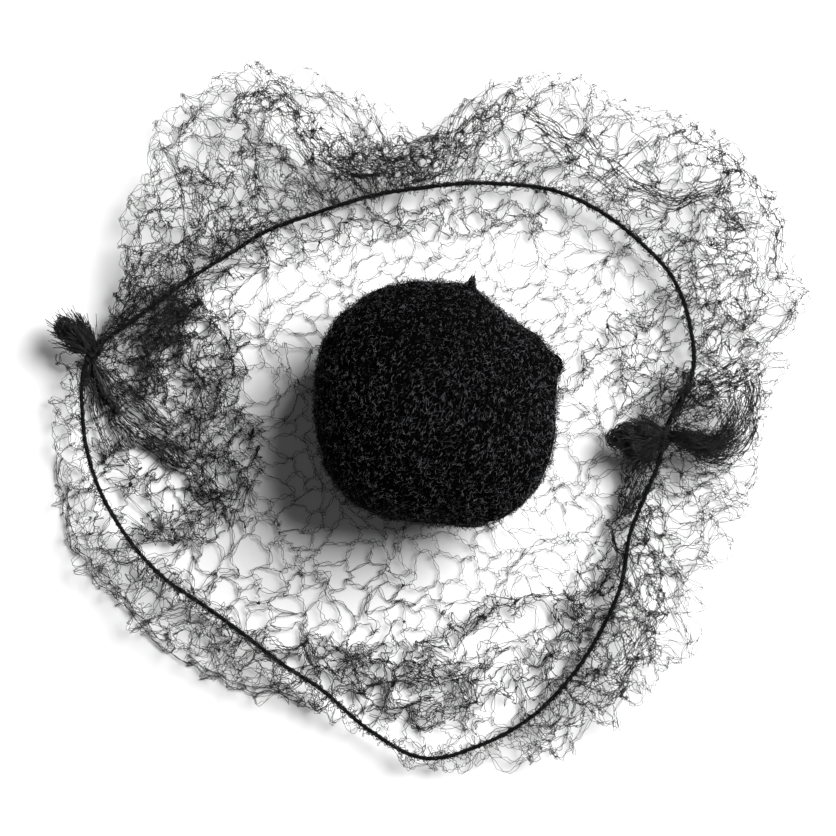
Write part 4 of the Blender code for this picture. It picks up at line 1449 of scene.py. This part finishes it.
@dataclass
class BunPad:
    """The pad: a squat rounded form covered with fine matted loops."""

    lay: NetLay
    x: float = 3.4 * MM
    y: float = 3.8 * MM
    height: float = 48.0 * MM
    foot: float = 1.3 * MM
    squareness: float = 0.82
    pressed: float = 0.075
    around: int = 180
    up: int = 64
    sunk: float = 0.6 * MM
    # The matted loops: their number by place, their size, lean and stand.
    filament: float = 0.046 * MM
    loops: int = 7900
    low_loops: int = 1500
    fringe_loops: int = 650
    crown_loops: int = 5800
    fringe_filament: float = 0.095 * MM
    loop_steps: int = 3
    half_loop: tuple[float, float] = (0.008, 0.022)
    lean: float = 50.0
    lean_spread: float = 38.0
    stand: float = 0.36 * MM
    # The tip at the back and the small knob at the right: reach, direction and width in degrees.
    tip: float = 1.9 * MM
    tip_at: float = 74.5
    tip_wide: float = 1.9
    tip_loops: int = 50
    tip_spread: tuple[float, float] = (0.9, 0.04)
    knob: float = 2.0 * MM
    knob_at: float = 18.5
    knob_wide: float = 5.0
    bump_height: float = 0.16
    # Spreads of the loops' places, lengths and directions.
    fringe_spread: float = 0.16
    lowest_loop: float = -0.85
    loop_shape: float = 1.6
    tilt_spread: float = 0.3
    stray: float = 0.06 * MM
    # The body's soft unevenness, and how far it lies under the loops.
    wave: float = 9 * MM
    wave_turn: float = 30 * MM
    wave_height: float = 0.18 * MM
    under: float = 0.1 * MM
    pole: float = 0.012
    seed: int = 90

    def surface(self, direction: np.ndarray, raised: np.ndarray) -> np.ndarray:
        """Points of the pad's surface.

        Args:
            direction: Directions round it, in degrees.
            raised: Angles up from its middle, in radians.

        Returns:
            The points in the row frame.
        """
        reach = round_values(PAD_SIDES, direction) * MM
        tip = np.exp(-((apart(direction, self.tip_at) / self.tip_wide) ** 4)) * self.tip
        knob = np.exp(-((apart(direction, self.knob_at) / self.knob_wide) ** 4)) * self.knob
        reach = reach + (tip + knob) * np.exp(-((raised / self.bump_height) ** 2))
        level = np.sign(raised) * np.abs(np.sin(raised)) ** self.squareness
        out = np.cos(raised) ** self.squareness * reach
        angle = np.radians(direction)
        full = self.height / (1.0 - self.pressed)
        z = self.foot + np.maximum(0.0, full * (0.5 * (level + 1.0) - self.pressed))
        out = out - self.sunk * np.cos(raised)
        points = np.stack((self.x + out * np.cos(angle), self.y + out * np.sin(angle), z), axis=-1)
        return points + self.lay.offset

    def build_core(self, material: bpy.types.Material) -> bpy.types.Object:
        """Builds the pad's body with soft unevenness.

        Args:
            material: The knit's finish.

        Returns:
            The body.
        """
        direction = np.linspace(0.0, 360.0, self.around, endpoint=False)
        raised = np.linspace(-math.pi / 2 + self.pole, math.pi / 2 - self.pole, self.up)
        direction, raised = np.meshgrid(direction, raised)
        points = self.surface(direction, raised)
        middle = points.mean(axis=(0, 1))
        outward = unit(points - middle)
        uneven = Waves(self.seed, self.wave)
        turned = np.stack((np.radians(direction), raised), axis=-1) * self.wave_turn
        seam = 0.5 + 0.5 * np.cos(np.radians(direction))
        calm = smooth_step(0.0, 0.2, 1.0 - seam) * smooth_step(0.15, 0.6, np.cos(raised))
        soft = uneven.value(turned) * self.wave_height * calm
        points = points + outward * (soft[..., None] - self.under)
        points[..., 2] = np.maximum(points[..., 2], self.foot)
        index = np.arange(self.up * self.around).reshape(self.up, self.around)
        after = np.roll(index, -1, axis=1)
        quads = np.stack((index[:-1], after[:-1], after[1:], index[1:]), axis=-1).reshape(-1, 4)
        corners = points.reshape(-1, 3)
        ends = []
        for row, flip in ((0, False), (self.up - 1, True)):
            ring = index[row]
            hub = len(corners)
            corners = np.vstack((corners, points[row].mean(axis=0)))
            for k in range(0, self.around, 2):
                a, b, c = ring[k], ring[(k + 1) % self.around], ring[(k + 2) % self.around]
                ends.append((hub, c, b, a) if not flip else (hub, a, b, c))
        core = mesh_piece("pad_body", corners, np.vstack((quads, np.array(ends))))
        dress(core, material, ("bun_pad",))
        return core

    def build_knit(self, material: bpy.types.Material) -> list[bpy.types.Object]:
        """Builds the matted loops that cover the body and stand off its side.

        Args:
            material: The filament's finish.

        Returns:
            The loops of the upper and of the lower half.
        """
        draw = np.random.default_rng(self.seed + 2)
        made = []
        for name, low, high, count in (("pad_knit_upper", 0.0, 1.0, self.loops),
                                       ("pad_knit_lower", self.lowest_loop, 0.0, self.low_loops)):
            direction = draw.uniform(0.0, 360.0, (count, 1))
            raised = np.arcsin(draw.uniform(low, high, (count, 1)))
            shape = draw.gamma(self.loop_shape, 0.5 + 0.5 * np.cos(raised) ** 8)
            stand = self.stand * (0.3 + shape)
            tip = slice(0, self.tip_loops)
            direction[tip] = self.tip_at + draw.normal(0.0, self.tip_spread[0], direction[tip].shape)
            raised[tip] = draw.normal(0.0, self.tip_spread[1], raised[tip].shape)
            fringe = slice(tip.stop, tip.stop + self.fringe_loops)
            raised[fringe] = draw.normal(0.0, self.fringe_spread, raised[fringe].shape)
            if high > 0.0:
                crown = slice(fringe.stop, fringe.stop + self.crown_loops)
                even = draw.uniform(0.0, 1.0, raised[crown].shape)
                raised[crown] = np.arccos(even ** (0.5 / self.squareness))
            wide = np.full((count, 1), self.filament)
            wide[:fringe.stop] = self.fringe_filament
            angle = np.radians(direction)
            middle = np.stack((np.cos(raised) * np.cos(angle), np.cos(raised) * np.sin(angle),
                               np.sin(raised)), axis=-1)
            plan = np.radians(draw.normal(self.lean, self.lean_spread, (count, 1)))
            tilt = draw.normal(0.0, self.tilt_spread, (count, 1))
            along = np.stack((np.cos(plan), np.sin(plan), tilt), axis=-1)
            along = unit(along - middle * (along * middle).sum(axis=-1, keepdims=True))
            half = draw.uniform(*self.half_loop, (count, 1))
            t = np.linspace(-1.0, 1.0, self.loop_steps)
            ball = unit(middle + (t * half)[..., None] * along)
            points = self.surface(bearing(ball), np.arcsin(np.clip(ball[..., 2], -1.0, 1.0)))
            outward = unit(points - (self.lay.offset + [self.x, self.y, self.foot + self.height / 2]))
            points += outward * (stand * (1.0 - 0.8 * t**2))[..., None]
            points += draw.normal(0, self.stray, points.shape)
            points[..., 2] = np.maximum(points[..., 2], self.foot)
            piece = tubes(name, points, wide)
            dress(piece, material)
            made.append(piece)
        return made


@dataclass
class Studio:
    """Pale ground, one large soft light from the back right and the camera straight above."""

    lay: NetLay
    ground: float = 1.6
    ground_drop: float = 0.02 * MM
    view_width: float = 209.0 * MM
    view_x: float = -1.6 * MM
    view_y: float = 0.25 * MM
    lens: float = 400.0
    sensor: float = 36.0
    light_distance: float = 2.0
    light_size: float = 1.6
    light_power: float = 95.0
    light_bearing: float = 33.0
    light_raised: float = 46.0
    ambient: float = 0.085

    def build(self) -> None:
        """Builds the ground, the light and the camera."""
        self._ground()
        self._light()
        self._camera()

    def _ground(self) -> None:
        """The ground that the net lies on."""
        half = self.ground / 2
        ways = ((-1.0, -1.0, 0.0), (1.0, -1.0, 0.0), (1.0, 1.0, 0.0), (-1.0, 1.0, 0.0))
        corners = np.array(ways) * half
        ground = mesh_piece("ground", corners, np.array(((0, 1, 2, 3),)))
        ground.location.z = -self.ground_drop
        ground.data.materials.append(GroundFinish("pale ground").make())

    def _light(self) -> None:
        """The soft light and the faint light from all round."""
        data = bpy.data.lights.new("soft light", "AREA")
        data.shape = "DISK"
        data.size = self.light_size
        data.energy = self.light_power
        light = bpy.data.objects.new("soft light", data)
        heading, raised = math.radians(self.light_bearing), math.radians(self.light_raised)
        out = math.cos(raised)
        toward = Vector((out * math.cos(heading), out * math.sin(heading), math.sin(raised)))
        light.location = toward * self.light_distance
        light.rotation_euler = toward.to_track_quat("Z", "Y").to_euler()
        bpy.context.scene.collection.objects.link(light)
        world = bpy.data.worlds.new("faint light all round")
        world.use_nodes = True
        background = world.node_tree.nodes["Background"]
        background.inputs["Color"].default_value = grey(1.0)
        background.inputs["Strength"].default_value = self.ambient
        bpy.context.scene.world = world
        bpy.context.scene.view_settings.view_transform = "Standard"

    def _camera(self) -> None:
        """The camera, looking straight down."""
        data = bpy.data.cameras.new("camera")
        data.lens = self.lens
        data.sensor_width = self.sensor
        data.sensor_fit = "HORIZONTAL"
        camera = bpy.data.objects.new("camera", data)
        x, y = self.lay.offset[0] + self.view_x, self.lay.offset[1] + self.view_y
        camera.location = (x, y, self.view_width * self.lens / self.sensor)
        bpy.context.scene.collection.objects.link(camera)
        bpy.context.scene.camera = camera


def main() -> None:
    """Builds the hairnet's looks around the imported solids."""
    logging.basicConfig(level=logging.INFO, format="%(message)s")
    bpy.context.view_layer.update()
    lay = NetLay()
    Studio(lay).build()
    filament = StrandFinish("black nylon filament").make()
    elastic = StrandFinish("black covered elastic", dark=0.001, light=0.004, smooth=0.6, rough=0.85,
                           shine=0.1).make()
    # The pad filament's bright spots (light 0.15) are painted glints: lighter dashes that stand in for
    # highlights on the pad's loops.
    pad_filament_painted_glints = StrandFinish("black knitted filament", dark=0.0006, light=0.15, onset=0.45, full=0.7,
                                shine=0.12).make()
    knit = ClothFinish("black knit ground").make()
    Net(lay).build(filament)
    Gathers(lay).build(filament)
    rim = Rim(lay)
    rim.build_cord(elastic)
    rim.build_loops(filament)
    Tuft(lay, "left_fray", lay.left_knot, LEFT_LOCKS, LEFT_LUMPS, seed=50).build(filament, "left_tuft")
    rope = Rope(lay, lay.right_knot).strands_along()
    right = Tuft(lay, "right_fray", lay.right_knot, RIGHT_LOCKS, RIGHT_LUMPS, strands=55, lump_strands=95,
                 curl=0.55 * MM, looped=0.85, seed=60)
    right.build(filament, "right_tuft", (rope,))
    pad = BunPad(lay)
    pad.build_core(knit)
    pad.build_knit(pad_filament_painted_glints)
    faces = sum(len(piece.data.polygons) for piece in bpy.context.scene.objects if piece.type == "MESH")
    LOG.info("all pieces: about %d triangles", 2 * faces)


if __name__ == "__main__":
    main()
